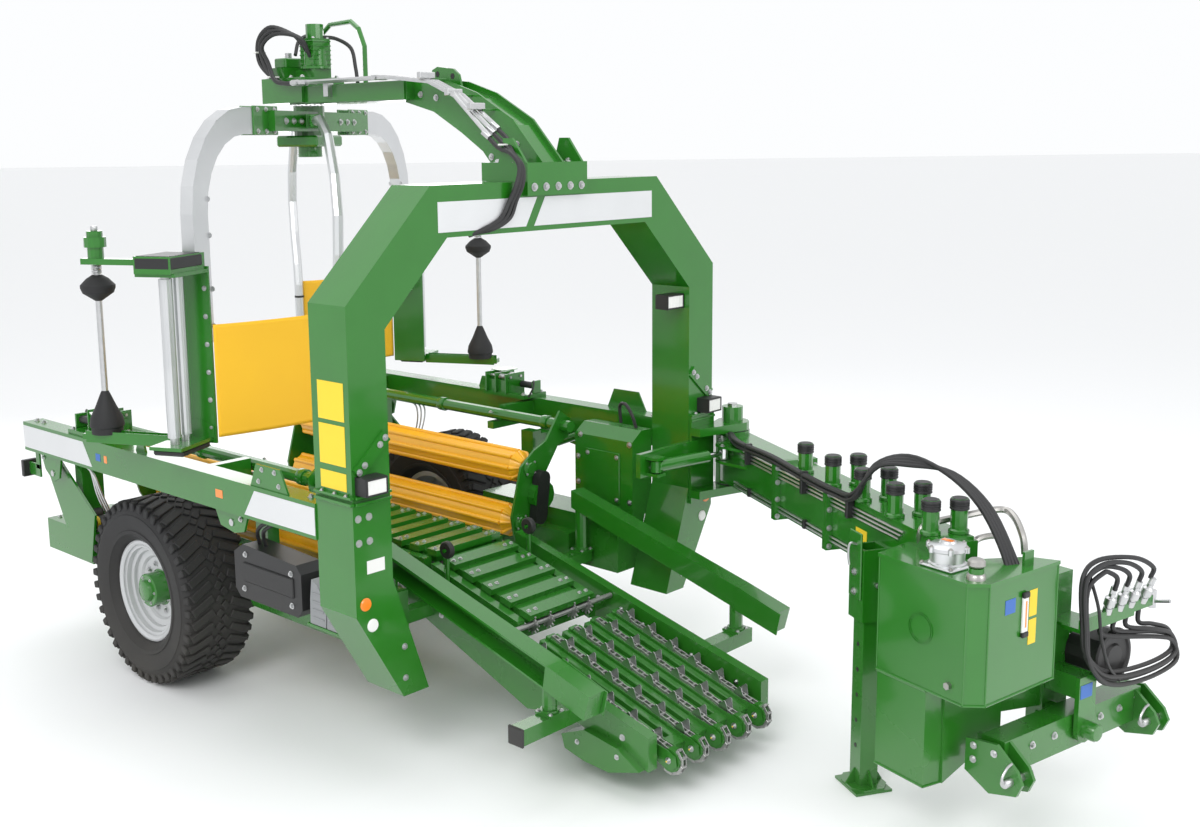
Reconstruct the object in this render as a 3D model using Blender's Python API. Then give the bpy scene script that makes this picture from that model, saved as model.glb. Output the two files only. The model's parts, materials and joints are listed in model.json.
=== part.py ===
"""Trailed square-bale wrapper, parked with its drawbar swung in. Metres, +X towards the hitch, +Z up."""
import bpy
import bmesh
from math import atan2, cos, degrees, hypot, pi, radians, sin
from mathutils import Matrix, Vector

for old in list(bpy.data.objects):
    bpy.data.objects.remove(old, do_unlink=True)

GAP = 0.0004  # left between pieces that touch
OVER = 0.004  # how far joined pieces run into each other

# Chassis. The axle is over X 0 and the ground is Z 0 until everything is shifted at the end.
TYRE_R, TYRE_W, RIM_R, TRACK = 0.515, 0.42, 0.285, 1.036
BEAM_REAR, BEAM_Y, BEAM_W, BEAM_Z0, BEAM_Z1 = -1.112, 1.294, 0.12, 1.162, 1.330
ARCH_X0, ARCH_X1 = 1.712, 1.974
ARCH_OUT = [(1.033, 0.412), (1.287, 0.852), (1.287, 2.234), (0.7915, 2.726)]
ARCH_IN = [(0.881, 0.412), (1.075, 0.983), (1.075, 2.116), (0.6965, 2.491)]
RAIL_Y, RAIL_W, RAIL_Z0, RAIL_Z1, RAIL_X1, LEG_BOX_Z1 = 0.78, 0.10, 0.475, 0.70, 1.42, 0.80
AXLE_SIDE, STUB_R = 0.10, 0.045

# Wrapping rotor, about a vertical axis
ROTOR_X, ARM_ANGLE, TUBE_ANGLE = 0.044, -64.24, -29.0
ARM_W, ARM_T, ARM_R, ARM_TOP, ARM_BEND, ARM_LOW = 0.14, 0.07, 1.25, 3.04, 0.46, 1.93
ROLLER_R, ROLLER_Z0, ROLLER_Z1, ROLLER_AT = 0.0325, 1.506, 2.285, (1.435, 1.535)

# Roller carriages, hinged along their torsion tubes
TORSION_Y, TORSION_Z, TORSION_R = 0.88, 1.27, 0.035
YELLOW_R, YELLOW_X0, YELLOW_X1 = 0.10, -0.93, 1.16
YELLOW = [("upper", 0.60, 1.065), ("lower", 0.52, 0.76)]

# Slat conveyor and loading ramp
SLAT_W, SLAT_PITCH, SLAT_BED = 0.235, 0.142, 0.05
CONVEYOR = [(-0.90, 0.76), (1.28, 0.76), (1.97, 0.575)]
RAMP_X, RAMP_Z, RAMP_HALF, RUN_PITCH, RUNS = 2.06, 0.47, 0.40, 0.165, 5
NOSE_X, NOSE_Z, SIDE_W = 2.987, 0.19, 0.06
RAMP_HINGE, PIN_R, GUIDE_Y, GUIDE_W = (1.30, 0.64), 0.015, 0.66, 0.10
STUBS = [(1.50, 0.55, 0.61), (2.58, 0.325, 0.40)]  # x, z low, z high of the arms under the guide rails

# Drawbar: a beam swung in from a pivot beside the far leg, with the tank and hitch on its end
PIVOT, BAR_TURN, HEAD_TURN = Vector((ARCH_X1 + 0.066, ARCH_OUT[1][0] + 0.108, 0)), -30.0, -11.0
BAR_W, BAR_Z0, BAR_Z1, BAR_LONG = 0.18, 1.00, 1.26, 2.29
HITCH_Z, HITCH_SPREAD, HITCH_PAST = 0.361, 0.484, (0.063, 0.509)  # past the beam's end, and to its left
TANK_Z0, TANK_STEP, TANK_Z1 = 0.27, 0.70, 1.20
JACK_BACK, JACK_SIDE, JACK_FOOT = 0.453, 0.09, 0.012  # behind the beam's end
SWING_A, SWING_OUT, SWING_Z = (ARCH_X1 + 0.076, 0.70), (0.185, 0.045), 1.19

collection = bpy.data.collections.new("square_bale_wrapper")
helpers = bpy.data.collections.new("helpers")
for made in (collection, helpers):
    bpy.context.scene.collection.children.link(made)
helpers.hide_render = True
LOOKS = {  # colour, roughness, metallic
    "green": ((0.02, 0.17, 0.03), 0.3, 0.0),
    "aluminium": ((0.72, 0.73, 0.74), 0.35, 1.0),
    "rim": ((0.55, 0.56, 0.57), 0.4, 0.6),
    "tyre": ((0.02, 0.02, 0.02), 0.85, 0.0),
    "black": ((0.02, 0.02, 0.02), 0.5, 0.0),
    "yellow": ((0.95, 0.45, 0.02), 0.4, 0.0),
    "cloth": ((0.95, 0.60, 0.02), 0.7, 0.0),
    "steel": ((0.55, 0.56, 0.57), 0.35, 1.0),
}


def helper(mesh_made):
    """A helper object from a bmesh, kept out of the render."""
    bmesh.ops.recalc_face_normals(mesh_made, faces=mesh_made.faces)
    data = bpy.data.meshes.new("helper")
    mesh_made.to_mesh(data)
    mesh_made.free()
    obj = bpy.data.objects.new("helper", data)
    obj.hide_render, obj.display_type = True, "WIRE"
    helpers.objects.link(obj)
    return obj


def prism(outline, axis, low, high):
    """An outline extruded along an axis. Along X it is (y, z), along Y (x, z) and along Z (x, y)."""
    place = {
        "x": lambda a, b, c: (c, a, b),
        "y": lambda a, b, c: (a, c, b),
        "z": lambda a, b, c: (a, b, c),
    }[axis]
    form = bmesh.new()
    ends = [[form.verts.new(place(a, b, c)) for a, b in outline] for c in (low, high)]
    for end in ends:
        form.faces.new(end)
    for i in range(len(outline)):
        j = (i + 1) % len(outline)
        form.faces.new((ends[0][i], ends[0][j], ends[1][j], ends[1][i]))
    return helper(form)


def box(x, y, z):
    return prism([(x[0], y[0]), (x[1], y[0]), (x[1], y[1]), (x[0], y[1])], "z", z[0], z[1])


def rod(start, end, radius, sides=12, tip=None):
    """A round bar, or a cone where tip gives its far radius."""
    start, end = Vector(start), Vector(end)
    form = bmesh.new()
    bmesh.ops.create_cone(form, cap_ends=True, segments=sides, radius1=radius,
                          radius2=radius if tip is None else tip, depth=(end - start).length)
    turn = (end - start).to_track_quat("Z", "Y").to_matrix().to_4x4()
    bmesh.ops.transform(form, matrix=Matrix.Translation((start + end) / 2) @ turn, verts=form.verts)
    return helper(form)


def pipe(points, radius, fineness=2):
    """A round bar bent along points."""
    curve = bpy.data.curves.new("pipe", "CURVE")
    curve.dimensions, curve.bevel_depth, curve.bevel_resolution = "3D", radius, fineness
    curve.use_fill_caps = True
    spline = curve.splines.new("POLY")
    spline.points.add(len(points) - 1)
    for point, at in zip(spline.points, points):
        point.co = (*at, 1)
    holder = bpy.data.objects.new("pipe", curve)
    data = bpy.data.meshes.new_from_object(holder)
    bpy.data.objects.remove(holder, do_unlink=True)
    form = bmesh.new()
    form.from_mesh(data)
    bmesh.ops.remove_doubles(form, verts=form.verts, dist=0.00005)
    return helper(form)


def turned(pieces, degrees_round, about=(0, 0, 0), by="Z"):
    """The pieces turned about a point, in place."""
    centre = Matrix.Translation(Vector(about))
    matrix = centre @ Matrix.Rotation(radians(degrees_round), 4, by) @ centre.inverted()
    for piece in pieces:
        piece.data.transform(matrix)
    return pieces


def moved(pieces, offset):
    for piece in pieces:
        piece.data.transform(Matrix.Translation(offset))
    return pieces


def helper_copy(piece):
    form = bmesh.new()
    form.from_mesh(piece.data)
    return helper(form)


def mirrored(pieces):
    """Copies on the other side of the machine."""
    made = []
    for piece in pieces:
        form = bmesh.new()
        form.from_mesh(piece.data)
        bmesh.ops.transform(form, matrix=Matrix.Scale(-1, 4, (0, 1, 0)), verts=form.verts)
        bmesh.ops.reverse_faces(form, faces=form.faces)
        made.append(helper(form))
    return made


def both(pieces):
    return pieces + mirrored(pieces)


def node(name, look, pieces, cuts=(), origin=(0, 0, 0)):
    """One named body: the pieces joined, less the cuts, with its origin on its joint."""
    body = bpy.data.objects.new(name, pieces[0].data.copy())
    collection.objects.link(body)
    body.data.transform(Matrix.Translation(-Vector(origin)))
    body.location = origin
    material = bpy.data.materials.new(name)
    material.use_nodes = True
    shader = material.node_tree.nodes["Principled BSDF"]
    colour, roughness, metallic = LOOKS[look]
    shader.inputs["Base Color"].default_value = (*colour, 1)
    shader.inputs["Roughness"].default_value = roughness
    shader.inputs["Metallic"].default_value = metallic
    body.data.materials.append(material)
    for kind, others in (("UNION", pieces[1:]), ("DIFFERENCE", cuts)):
        for other in others:
            modifier = body.modifiers.new(kind.lower(), "BOOLEAN")
            modifier.operation, modifier.solver, modifier.object = kind, "EXACT", other
    return body


def arc(centre, radius, start, end, steps):
    """Points of an arc in degrees."""
    turns = [radians(start + (end - start) * i / steps) for i in range(steps + 1)]
    return [(centre[0] + radius * cos(t), centre[1] + radius * sin(t)) for t in turns]


def ring(profile, steps, y):
    """A closed ring about the wheel's axis, from a profile of (radius, across)."""
    form = bmesh.new()
    rows = []
    for i in range(steps):
        turn = 2 * pi * i / steps
        rows.append([form.verts.new((r * sin(turn), y + a, r * cos(turn))) for r, a in profile])
    for i in range(steps):
        for j in range(len(profile)):
            k = (j + 1) % len(profile)
            form.faces.new((rows[i][j], rows[i][k], rows[i - 1][k], rows[i - 1][j]))
    return helper(form)


# --- Chassis -----------------------------------------------------------------------------------------
def side_outline(points):
    return points + [(-y, z) for y, z in reversed(points)]


def arch():
    outer = prism(side_outline(ARCH_OUT), "x", ARCH_X0, ARCH_X1)
    inner = [(ARCH_IN[0][0], ARCH_IN[0][1] - 0.1)] + ARCH_IN
    hole = prism(side_outline(inner), "x", ARCH_X0 - 0.1, ARCH_X1 + 0.1)
    shelves = both([box((ARCH_X0 + 0.05, ARCH_X1 - 0.05), (1.06, 1.10), (1.33, 1.75))])
    node("arch_frame", "green", [outer] + shelves, [hole])


def side_beams():
    for side, name in ((-1, "side_beam_right"), (1, "side_beam_left")):
        inner = (BEAM_Y - BEAM_W) * side
        ys = sorted((inner, BEAM_Y * side))
        beam = box((BEAM_REAR, ARCH_X0 - GAP), ys, (BEAM_Z0, BEAM_Z1))
        lug = prism([(0.10, BEAM_Z1 - OVER), (0.20, BEAM_Z1 - OVER), (0.17, 1.40), (0.13, 1.40)], "y",
                    side * 1.25 - 0.006, side * 1.25 + 0.006)
        pieces = [beam, lug]
        for x in (-0.80, 0.62):  # hooks that the torsion tube turns in
            pieces.append(box((x, x + 0.05), sorted((side * (TORSION_Y + 0.045), side * (BEAM_Y - BEAM_W + 0.01))),
                              (1.185, 1.315)))
            pieces.append(box((x, x + 0.05), sorted((side * (TORSION_Y - 0.06), side * (TORSION_Y + 0.06))),
                              (1.185, TORSION_Z - TORSION_R - 0.006)))
        node(name, "green", pieces)


def chassis():
    """Lower frame: rails inside the wheels, cross members, rear boxes and the uprights to the beams."""
    low, high = RAIL_Z0, RAIL_Z1
    inner = RAIL_Y - RAIL_W
    under = BEAM_Z0 - GAP
    rail = box((BEAM_REAR + 0.06, RAIL_X1), (inner, RAIL_Y), (low, high))
    leg_box = prism([(RAIL_Y - 0.01, low + 0.03), (0.925, low + 0.03), (1.01, LEG_BOX_Z1), (RAIL_Y - 0.01, LEG_BOX_Z1)],
                    "x", 0.62, ARCH_X0 - GAP)
    rear_box = box((BEAM_REAR + 0.022, -0.56), (RAIL_Y - OVER, 1.20), (0.55, 0.73))
    post = box((-0.78, -0.70), (1.03, 1.16), (0.72, under))
    plate = prism([(BEAM_REAR + 0.007, under), (-0.94, under), (-0.50, 0.85), (-0.57, 0.56), (-0.75, 0.56)], "y", 1.19, 1.204)
    front_post = box((0.80, 0.90), (0.93, 1.0), (0.78, BEAM_Z0 + 0.02))
    front_arm = box((0.80, 0.90), (0.93, BEAM_Y - BEAM_W - GAP), (1.09, under))
    pieces = both([rail, leg_box, rear_box, post, plate, front_post, front_arm])
    crosses = [  # x low, x high, z low, z high
        (-1.04, -0.94, 0.50, 0.6), (-0.45, -0.35, 0.50, 0.6), (0.62, 0.72, 0.50, 0.59), (1.32, 1.40, 0.48, 0.53)]
    for x0, x1, z0, z1 in crosses:
        pieces.append(box((x0, x1), (-inner - 0.02, inner + 0.02), (z0, z1)))
    bores = both([rod((0, inner - 0.1, TYRE_R), (0, RAIL_Y + 0.1, TYRE_R), STUB_R + GAP)])
    node("chassis_frame", "green", pieces, bores)
    stub = TRACK - TYRE_W / 2 + 0.055
    beam = box((-AXLE_SIDE / 2, AXLE_SIDE / 2), (-inner + 0.02, inner - 0.02),
               (TYRE_R - AXLE_SIDE / 2, TYRE_R + AXLE_SIDE / 2))
    node("axle", "black", [beam, rod((0, -stub, TYRE_R), (0, stub, TYRE_R), STUB_R)])


def wheels():
    half, r = TYRE_W / 2, TYRE_R
    tyre = [(RIM_R, -half * 0.74), (RIM_R + 0.05, -half * 0.93), (r * 0.80, -half), (r * 0.93, -half * 0.92),
            (r * 0.985, -half * 0.74), (r, -half * 0.35), (r, half * 0.35), (r * 0.985, half * 0.74),
            (r * 0.93, half * 0.92), (r * 0.80, half), (RIM_R + 0.05, half * 0.93), (RIM_R, half * 0.74)]
    seat = RIM_R - GAP
    for side, end in ((-1, "right"), (1, "left")):
        y = side * TRACK
        face = half * 0.72
        rim = [(seat, -face), (seat, face), (seat - 0.03, face), (seat - 0.045, -0.02 * side),
               (seat - 0.03, -face)]
        up, origin = (0, 0, TYRE_R), (0, y, TYRE_R)
        node(f"tyre_{end}", "tyre", moved([ring(tyre, 48, y)], up), origin=origin)
        disc_y = y + side * 0.05
        disc = rod((0, disc_y - 0.008, 0), (0, disc_y + 0.008, 0), seat - 0.03, 32)
        hub = rod((0, y - side * 0.02, 0), (0, y + side * 0.15, 0), 0.085, 16)
        bore = rod((0, y - side * 0.10, 0), (0, y - side * 0.0, 0), 0.05, 16)
        node(f"rim_{end}", "rim", moved([ring(rim, 48, y), disc, hub], up), moved([bore], up), origin=origin)


def boom():
    """Two curved plates over a bracket on the arch, reaching back to the rotor's head."""
    top = [(1.984, 2.80), (1.77, 3.023), (1.516, 3.158), (1.311, 3.221), (0.996, 3.247)]
    low = [(0.979, 3.125), (1.198, 3.07), (1.407, 2.96), (1.558, 2.868), (1.617, 2.806)]
    outline = top + low + [(1.70, 2.78)]
    plates = [prism(outline, "y", y, y + 0.012) for y in (-0.066, 0.074)]
    web = [(x, z - 0.03) for x, z in top] + [(x, z + 0.02) for x, z in low] + [(1.75, 2.80)]
    pieces = plates + [prism(web, "y", -0.06, 0.08)]
    pieces.append(box((0.03, 1.05), (-0.12, 0.10), (3.135, 3.235)))
    pieces.append(box((ARCH_X0 - 0.02, ARCH_X1 + 0.03), (-0.205, 0.215), (2.726 + GAP, 2.815)))
    pieces.append(box((ARCH_X1 + GAP, ARCH_X1 + 0.03), (-0.205, 0.215), (2.66, 2.80)))
    for y in (-0.20, 0.19):
        pieces.append(prism([(ARCH_X1 + 0.028, 2.80), (1.80, 2.80), (1.84, 2.93), (1.90, 2.93)], "y", y, y + 0.014))
    pieces.append(box((-0.19, 0.19), (-0.15, 0.15), (3.145, 3.285)))
    node("boom", "green", pieces)
    head = [box((-0.125, 0.005), (-0.13, 0.02), (3.285 + GAP, 3.345)),
            box((0.07, 0.19), (-0.06, 0.06), (3.285 + GAP, 3.50)),
            box((-0.13, 0.19), (-0.05, 0.05), (3.285 + GAP, 3.33)),
            rod((0.13, 0, 3.49), (0.13, 0, 3.58), 0.05)]
    node("rotor_motor", "green", head)
    hoop = [(-0.02, 0.12, 3.285 + GAP), (-0.02, 0.12, 3.42), (0.03, 0.12, 3.53), (0.12, 0.12, 3.585),
            (0.36, 0.08, 3.585), (0.45, 0.06, 3.54), (0.51, 0.05, 3.44), (0.51, 0.05, 3.235 + GAP)]
    node("hose_hoop", "green", [pipe(hoop, 0.014)])
    pipes = []
    for i, y in enumerate((-0.155, -0.185, -0.215)):
        route = [(0.22, y, 3.25), (1.0, y, 3.25), (1.33, y, 3.215), (1.52, y, 3.14), (1.76, y, 2.98 - 0.02 * i)]
        pipes.append(pipe(route, 0.011, 1))
    clamps = [box((x, x + 0.03), (-0.23, -0.145), (z - 0.012, z + 0.012)) for x, z in ((0.3, 3.25), (0.9, 3.25))]
    stay = [box((0.40, 0.44), (-0.16, -0.12 - GAP), (3.17, 3.262))]
    node("boom_pipes", "steel", [clamps[0]] + pipes + clamps[1:] + stay)


def rotor_frame(pieces, angle):
    """From (radius, across, z) at angle 0 to the rotor's place."""
    return moved(turned(pieces, angle), (ROTOR_X, 0, 0))


def band(centre, width):
    """The outline of a strip of this width along points in a plane."""
    left, right = [], []
    for i, at in enumerate(centre):
        before, after = centre[max(i - 1, 0)], centre[min(i + 1, len(centre) - 1)]
        dx, dz = after[0] - before[0], after[1] - before[1]
        far = hypot(dx, dz) or 1
        left.append((at[0] - dz / far * width / 2, at[1] + dx / far * width / 2))
        right.append((at[0] + dz / far * width / 2, at[1] - dx / far * width / 2))
    return left + right[::-1]


def rotor():
    beam = [rod((0, 0, 2.94), (0, 0, 3.128), 0.09, 16), box((-0.54, 0.54), (-0.08, 0.08), (2.985, 3.095))]
    cross = [box((-0.20, 0.20), (-0.05, 0.05), (3.0, 3.08))]
    node("rotor_beam", "green", rotor_frame(beam, ARM_ANGLE) + rotor_frame(cross, TUBE_ANGLE), origin=(ROTOR_X, 0, 0))
    line = [(0.54 + GAP, ARM_TOP), (ARM_R - ARM_BEND, ARM_TOP)]
    line += arc((ARM_R - ARM_BEND, ARM_TOP - ARM_BEND), ARM_BEND, 75, 0, 5) + [(ARM_R, ARM_LOW)]
    tube = [(0.19, 3.04), (0.45, 3.045), (0.72, 2.95), (0.90, 2.75), (0.96, 2.55), (0.92, 2.35), (0.84, 2.15)]
    low = [(0.82, 2.02), (0.81, 1.46)]
    for side, turn in (("right", 0), ("left", 180)):
        at, thin = ARM_ANGLE + turn, TUBE_ANGLE + turn
        origin = (ROTOR_X, 0, 0)
        arm = [prism(band(line, ARM_W), "y", -ARM_T / 2, ARM_T / 2)]
        node(f"wrap_arm_{side}", "aluminium", rotor_frame(arm, at), origin=origin)
        points = [(r, 0, z) for r, z in [(0.225, 3.04)] + tube[1:] + low]
        node(f"curtain_tube_{side}", "aluminium", rotor_frame([pipe(points, 0.028)], thin), origin=origin)
        wall = ARM_R + ARM_W / 2 + GAP
        plates = [box((wall, wall + 0.012), (-0.11, 0.11), (1.44, 2.33)),
                  box((wall, 1.62), (-0.11, 0.11), (2.30, 2.318)), box((wall, 1.62), (-0.09, 0.09), (1.455, 1.473)),
                  box((wall + 0.02, 1.64), (-0.10, 0.10), (2.316, 2.40))]
        reach = box((wall + 0.05, wall + 0.10), (-0.62, -0.05), (1.44, 1.468))
        post = [reach, box((wall + 0.05, wall + 0.10), (-0.56, -0.09), (2.335, 2.365))]
        cap = [rod((1.375, -0.50, 2.36), (1.375, -0.50, 2.50), 0.04, 12),
               rod((1.375, -0.50, 2.42), (1.375, -0.50, 2.47), 0.055, 12)]
        node(f"dispenser_{side}", "green", rotor_frame(plates + post + cap, at), origin=origin)
        for place, r in zip(("inner", "outer"), ROLLER_AT):
            roll = rotor_frame([rod((r, 0, ROLLER_Z0), (r, 0, ROLLER_Z1), ROLLER_R, 16)], at)
            centre = (ROTOR_X + r * cos(radians(at)), r * sin(radians(at)), 0)
            node(f"film_roller_{place}_{side}", "aluminium", roll, origin=centre)
        pole = [rod((1.375, -0.50, 1.47 + GAP), (1.375, -0.50, 1.60), 0.075, 16, 0.02),
                rod((1.375, -0.50, 1.55), (1.375, -0.50, 2.335 - GAP), 0.016, 8)]
        node(f"film_mast_{side}", "steel", rotor_frame(pole, at), origin=origin)
        start = Matrix.Rotation(radians(at), 3, "Z") @ Vector((wall + 0.006, 0.118, 0))
        end = Matrix.Rotation(radians(thin), 3, "Z") @ Vector((0.845, 0, 0))
        along = end - start
        angle = degrees(atan2(along.y, along.x))
        sheet = moved(turned([box((0.0, along.length - 0.035), (-0.0015, 0.0015), (1.47, 2.04))], angle),
                      (start.x + ROTOR_X, start.y, 0))
        node(f"curtain_{side}", "cloth", sheet, origin=origin)


def carriages():
    """Yellow rollers on plates that swing about the torsion tubes along each side."""
    for side, name in ((-1, "right"), (1, "left")):
        axis = (0, side * TORSION_Y, TORSION_Z)
        tube = rod((-1.0, side * TORSION_Y, TORSION_Z), (1.26, side * TORSION_Y, TORSION_Z), TORSION_R, 12)
        outline = [(0.95, 1.30), (0.86, 1.36), (0.74, 1.20), (0.64, 1.16), (0.53, 1.08), (0.45, 0.80), (0.47, 0.68),
                   (0.58, 0.66), (0.66, 0.80), (0.72, 1.00), (0.84, 1.16), (0.93, 1.20)]
        ends = [prism([(side * y, z) for y, z in outline], "x", x, x + 0.015)
                for x in (YELLOW_X0 - 0.02 - 0.015, YELLOW_X1 + 0.02)]
        cover = [prism(arc((side * 0.66, 0.90), 0.085, 0, 360 - 30, 11), "x", YELLOW_X1 + 0.03, YELLOW_X1 + 0.09)]
        node(f"carriage_{name}", "green", [tube] + ends + cover, origin=axis)
        for level, y, z in YELLOW:
            body = [rod((YELLOW_X0, side * y, z), (YELLOW_X1, side * y, z), YELLOW_R, 16),
                    rod((YELLOW_X0 - 0.02 + GAP, side * y, z), (YELLOW_X1 + 0.02 - GAP, side * y, z), 0.03, 8)]
            node(f"yellow_roller_{level}_{name}", "yellow", body, origin=(0, side * y, z))


def slats_at(places):
    """Slats at (x, z, slope)."""
    made = []
    for x, z, slope in places:
        slat = box((-0.038, 0.038), (-SLAT_W, SLAT_W), (-0.006, 0.028))
        made += moved(turned([slat], -degrees(slope), by="Y"), (x, 0, z))
    return made


def conveyor():
    """The table's slats on their bed, and the side plates that carry it. It bends down where the ramp is hinged."""
    (x0, z0), (x1, z1), _ = CONVEYOR
    count = int((x1 - x0 - 0.04) / SLAT_PITCH)
    places = [(x1 - i * SLAT_PITCH, z0, 0.0) for i in range(count + 1)]
    bed = box((x0, x1), (-SLAT_W + 0.03, SLAT_W - 0.03), (z0 - SLAT_BED, z0))
    node("slat_conveyor", "green", [bed] + slats_at(places))
    inner = SLAT_W + 0.004
    plates = both([box((x0, x1), (inner, inner + 0.05), (z0 - 0.14, z0 - 0.01))])
    reach = RAIL_Y - RAIL_W - GAP
    feet = [box((x, x + 0.08), (-reach, reach), (z0 - 0.158, z0 - 0.115)) for x in (-0.88, 0.64)]
    node("conveyor_sides", "green", [plates[0]] + feet + [plates[1]])


def guides():
    """Channels that lead a bale in, on posts from the ramp's arms."""
    outline = [(1.46, 0.965), (1.46, 0.865), (2.60, 0.535), (2.84, 0.46), (2.87, 0.575), (2.62, 0.65)]
    hollow = [(1.44, 0.955), (1.44, 0.880), (2.597, 0.546), (2.612, 0.642)]
    outer = GUIDE_Y + GUIDE_W
    for name, side in (("guide_rail_left", 1), ("guide_rail_right", -1)):
        pieces = [prism(outline, "y", GUIDE_Y, outer)]
        for x, _, top in STUBS:
            y, lift = GUIDE_Y + 0.04, outline[1][1] - (x - outline[1][0]) * 0.2895
            pieces.append(rod((x, y, top + GAP), (x, y, lift + 0.012), 0.035))
            pieces.append(box((x - 0.05, x + 0.05), (y - 0.05, y + 0.045), (top + GAP, top + 0.012)))
        cuts = [prism(hollow, "y", GUIDE_Y + 0.01, outer + 0.01)]
        if side < 0:
            pieces, cuts = mirrored(pieces), mirrored(cuts)
        node(name, "green", pieces, cuts)


def ramp():
    """Loading ramp, hinged where the slats bend: side rails, sloping slats, chain runs, skids and guide arms."""
    slope = atan2(NOSE_Z - RAMP_Z, NOSE_X - RAMP_X)
    long = hypot(NOSE_X - RAMP_X, NOSE_Z - RAMP_Z)
    runs = [box((0.0, long - 0.06), (-RAMP_HALF - 0.01, RAMP_HALF + 0.01), (-0.045, -0.02))]
    for i in range(RUNS):
        y = (i - (RUNS - 1) / 2) * RUN_PITCH
        runs.append(box((0.03, long), (y - 0.024, y + 0.024), (-0.03, 0.022)))
        runs.append(rod((long, y - 0.022, -0.01), (long, y + 0.022, -0.01), 0.055, 12))
    moved(turned(runs, -degrees(slope), by="Y"), (RAMP_X, 0, RAMP_Z))
    (x1, z1), (x2, z2) = CONVEYOR[1:]
    fall = (z2 - z1) / (x2 - x1)
    start = x1 + 0.055
    zs = z1 + (start - x1) * fall
    side = [(1.27, 0.595), (1.27, 0.745), (2.95, 0.31), (2.95, 0.15), (2.45, 0.28), (2.20, 0.235), (1.75, 0.41)]
    skid = [(2.46, 0.20), (2.48, 0.135), (2.60, 0.108), (2.75, 0.10), (2.93, 0.157), (2.80, 0.23), (2.60, 0.26)]
    inner = SLAT_W + 0.004
    halves = [prism(side, "y", RAMP_HALF, RAMP_HALF + SIDE_W),
              prism(skid, "y", RAMP_HALF + 0.01, RAMP_HALF + SIDE_W + 0.04),
              prism([(start, zs - 0.13), (start, zs - 0.01), (x2, z2 - 0.01), (x2, z2 - 0.13)], "y", inner, inner + 0.05),
              box((1.46, 1.54), (RAMP_HALF + SIDE_W - 0.01, 0.745), STUBS[0][1:])]
    cross = [box((1.40, 1.48), (-RAMP_HALF - 0.03, RAMP_HALF + 0.03), (0.575, 0.61)),
             box((1.88, 1.94), (-RAMP_HALF - 0.03, RAMP_HALF + 0.03), (0.455, 0.49))]
    for y in ((-0.91, -RAMP_HALF - SIDE_W + 0.01), (RAMP_HALF + SIDE_W - 0.01, 0.79)):
        cross.append(box((2.54, 2.62), y, STUBS[1][1:]))
    x, z = RAMP_HINGE
    bores = both([rod((x, RAMP_HALF - 0.02, z), (x, RAMP_HALF + SIDE_W + 0.02, z), PIN_R + 0.0015)])
    node("loading_ramp", "green", runs + both(halves) + cross, bores, origin=(x, 0, z))
    tilt = atan2(z2 - z1, x2 - x1)
    count = int((x2 - x1) / cos(tilt) / SLAT_PITCH)
    places = [(x1 + i * SLAT_PITCH * cos(tilt), z1 + i * SLAT_PITCH * sin(tilt), tilt) for i in range(1, count + 1)]
    bed = prism([(start, zs - SLAT_BED), (start, zs), (x2, z2), (x2, z2 - SLAT_BED)], "y", -SLAT_W + 0.03, SLAT_W - 0.03)
    node("ramp_slats", "green", [bed] + slats_at(places), origin=(x, 0, z))
    reach = RAIL_Y - RAIL_W - GAP
    lug = both([box((1.21, x + 0.025), (RAMP_HALF - 0.04, RAMP_HALF - 0.015), (0.58, z + 0.03)),
                rod((x, RAMP_HALF - 0.03, z), (x, RAMP_HALF + SIDE_W + 0.015, z), PIN_R)])
    node("ramp_carrier", "green", [box((1.19, 1.25), (-reach, reach), (0.56, 0.60))] + lug)


def leg_fittings():
    cover = [(0.90, LEG_BOX_Z1 + GAP), (1.07, LEG_BOX_Z1 + GAP), (1.07, 1.29), (0.98, 1.293), (0.90, 1.236)]
    node("leg_cover_box", "green", [prism(cover, "x", 1.275, ARCH_X0 - GAP)])
    for side, end in ((-1, "right"), (1, "left")):
        ys = sorted((side * 1.15, side * 1.27))
        node(f"headlamp_{end}", "black", [box((ARCH_X1 + GAP, 2.05), ys, (1.41, 1.49))])
        rear, under = BEAM_REAR - 0.085, BEAM_Z0 - GAP
        lamp = [box((rear, rear + 0.035), (1.20, 1.29), (0.985, 1.085)),
                box((rear + 0.03, BEAM_REAR + 0.08), (1.235, 1.245), (1.0, 1.07)),
                box((BEAM_REAR + 0.04, BEAM_REAR + 0.08), (1.235, 1.245), (1.05, under))]
        node(f"tail_lamp_{end}", "green", lamp if side > 0 else mirrored(lamp))
    node("work_lamp", "black", [box((ARCH_X1 - 0.12, ARCH_X1 - 0.04), (0.93, 1.075 - GAP), (2.0, 2.08))])
    cover = [(0.86, 0.67), (1.34, 0.67), (1.38, 0.71), (1.38, 0.89), (1.34, 0.93), (0.90, 0.95), (0.82, 0.90), (0.82, 0.71)]
    node("drive_cover", "black", [prism(cover, "y", -1.15, -1.012)])


def cutters():
    """Film cut-and-start units, one on each beam, facing each other through the rotor's axis."""
    low = BEAM_Z1 + GAP
    base = box((-0.18, 0.18), (-1.28, -1.08), (low, low + 0.025))
    block = box((-0.04, 0.16), (-1.21, -1.09), (low + 0.02, 1.43))
    for turn, end in ((0, "right"), (180, "left")):
        unit = moved([helper_copy(base), helper_copy(block)], (-0.455, 0, 0))
        node(f"film_cutter_{end}", "green", moved(turned(unit, turn), (ROTOR_X, 0, 0)))


# --- Drawbar -----------------------------------------------------------------------------------------
def on_bar(along, left):
    """A place in plan, from the pivot along the beam and to its left."""
    turn = radians(BAR_TURN)
    return PIVOT + Vector((along * cos(turn) - left * sin(turn), along * sin(turn) + left * cos(turn), 0))


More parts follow.
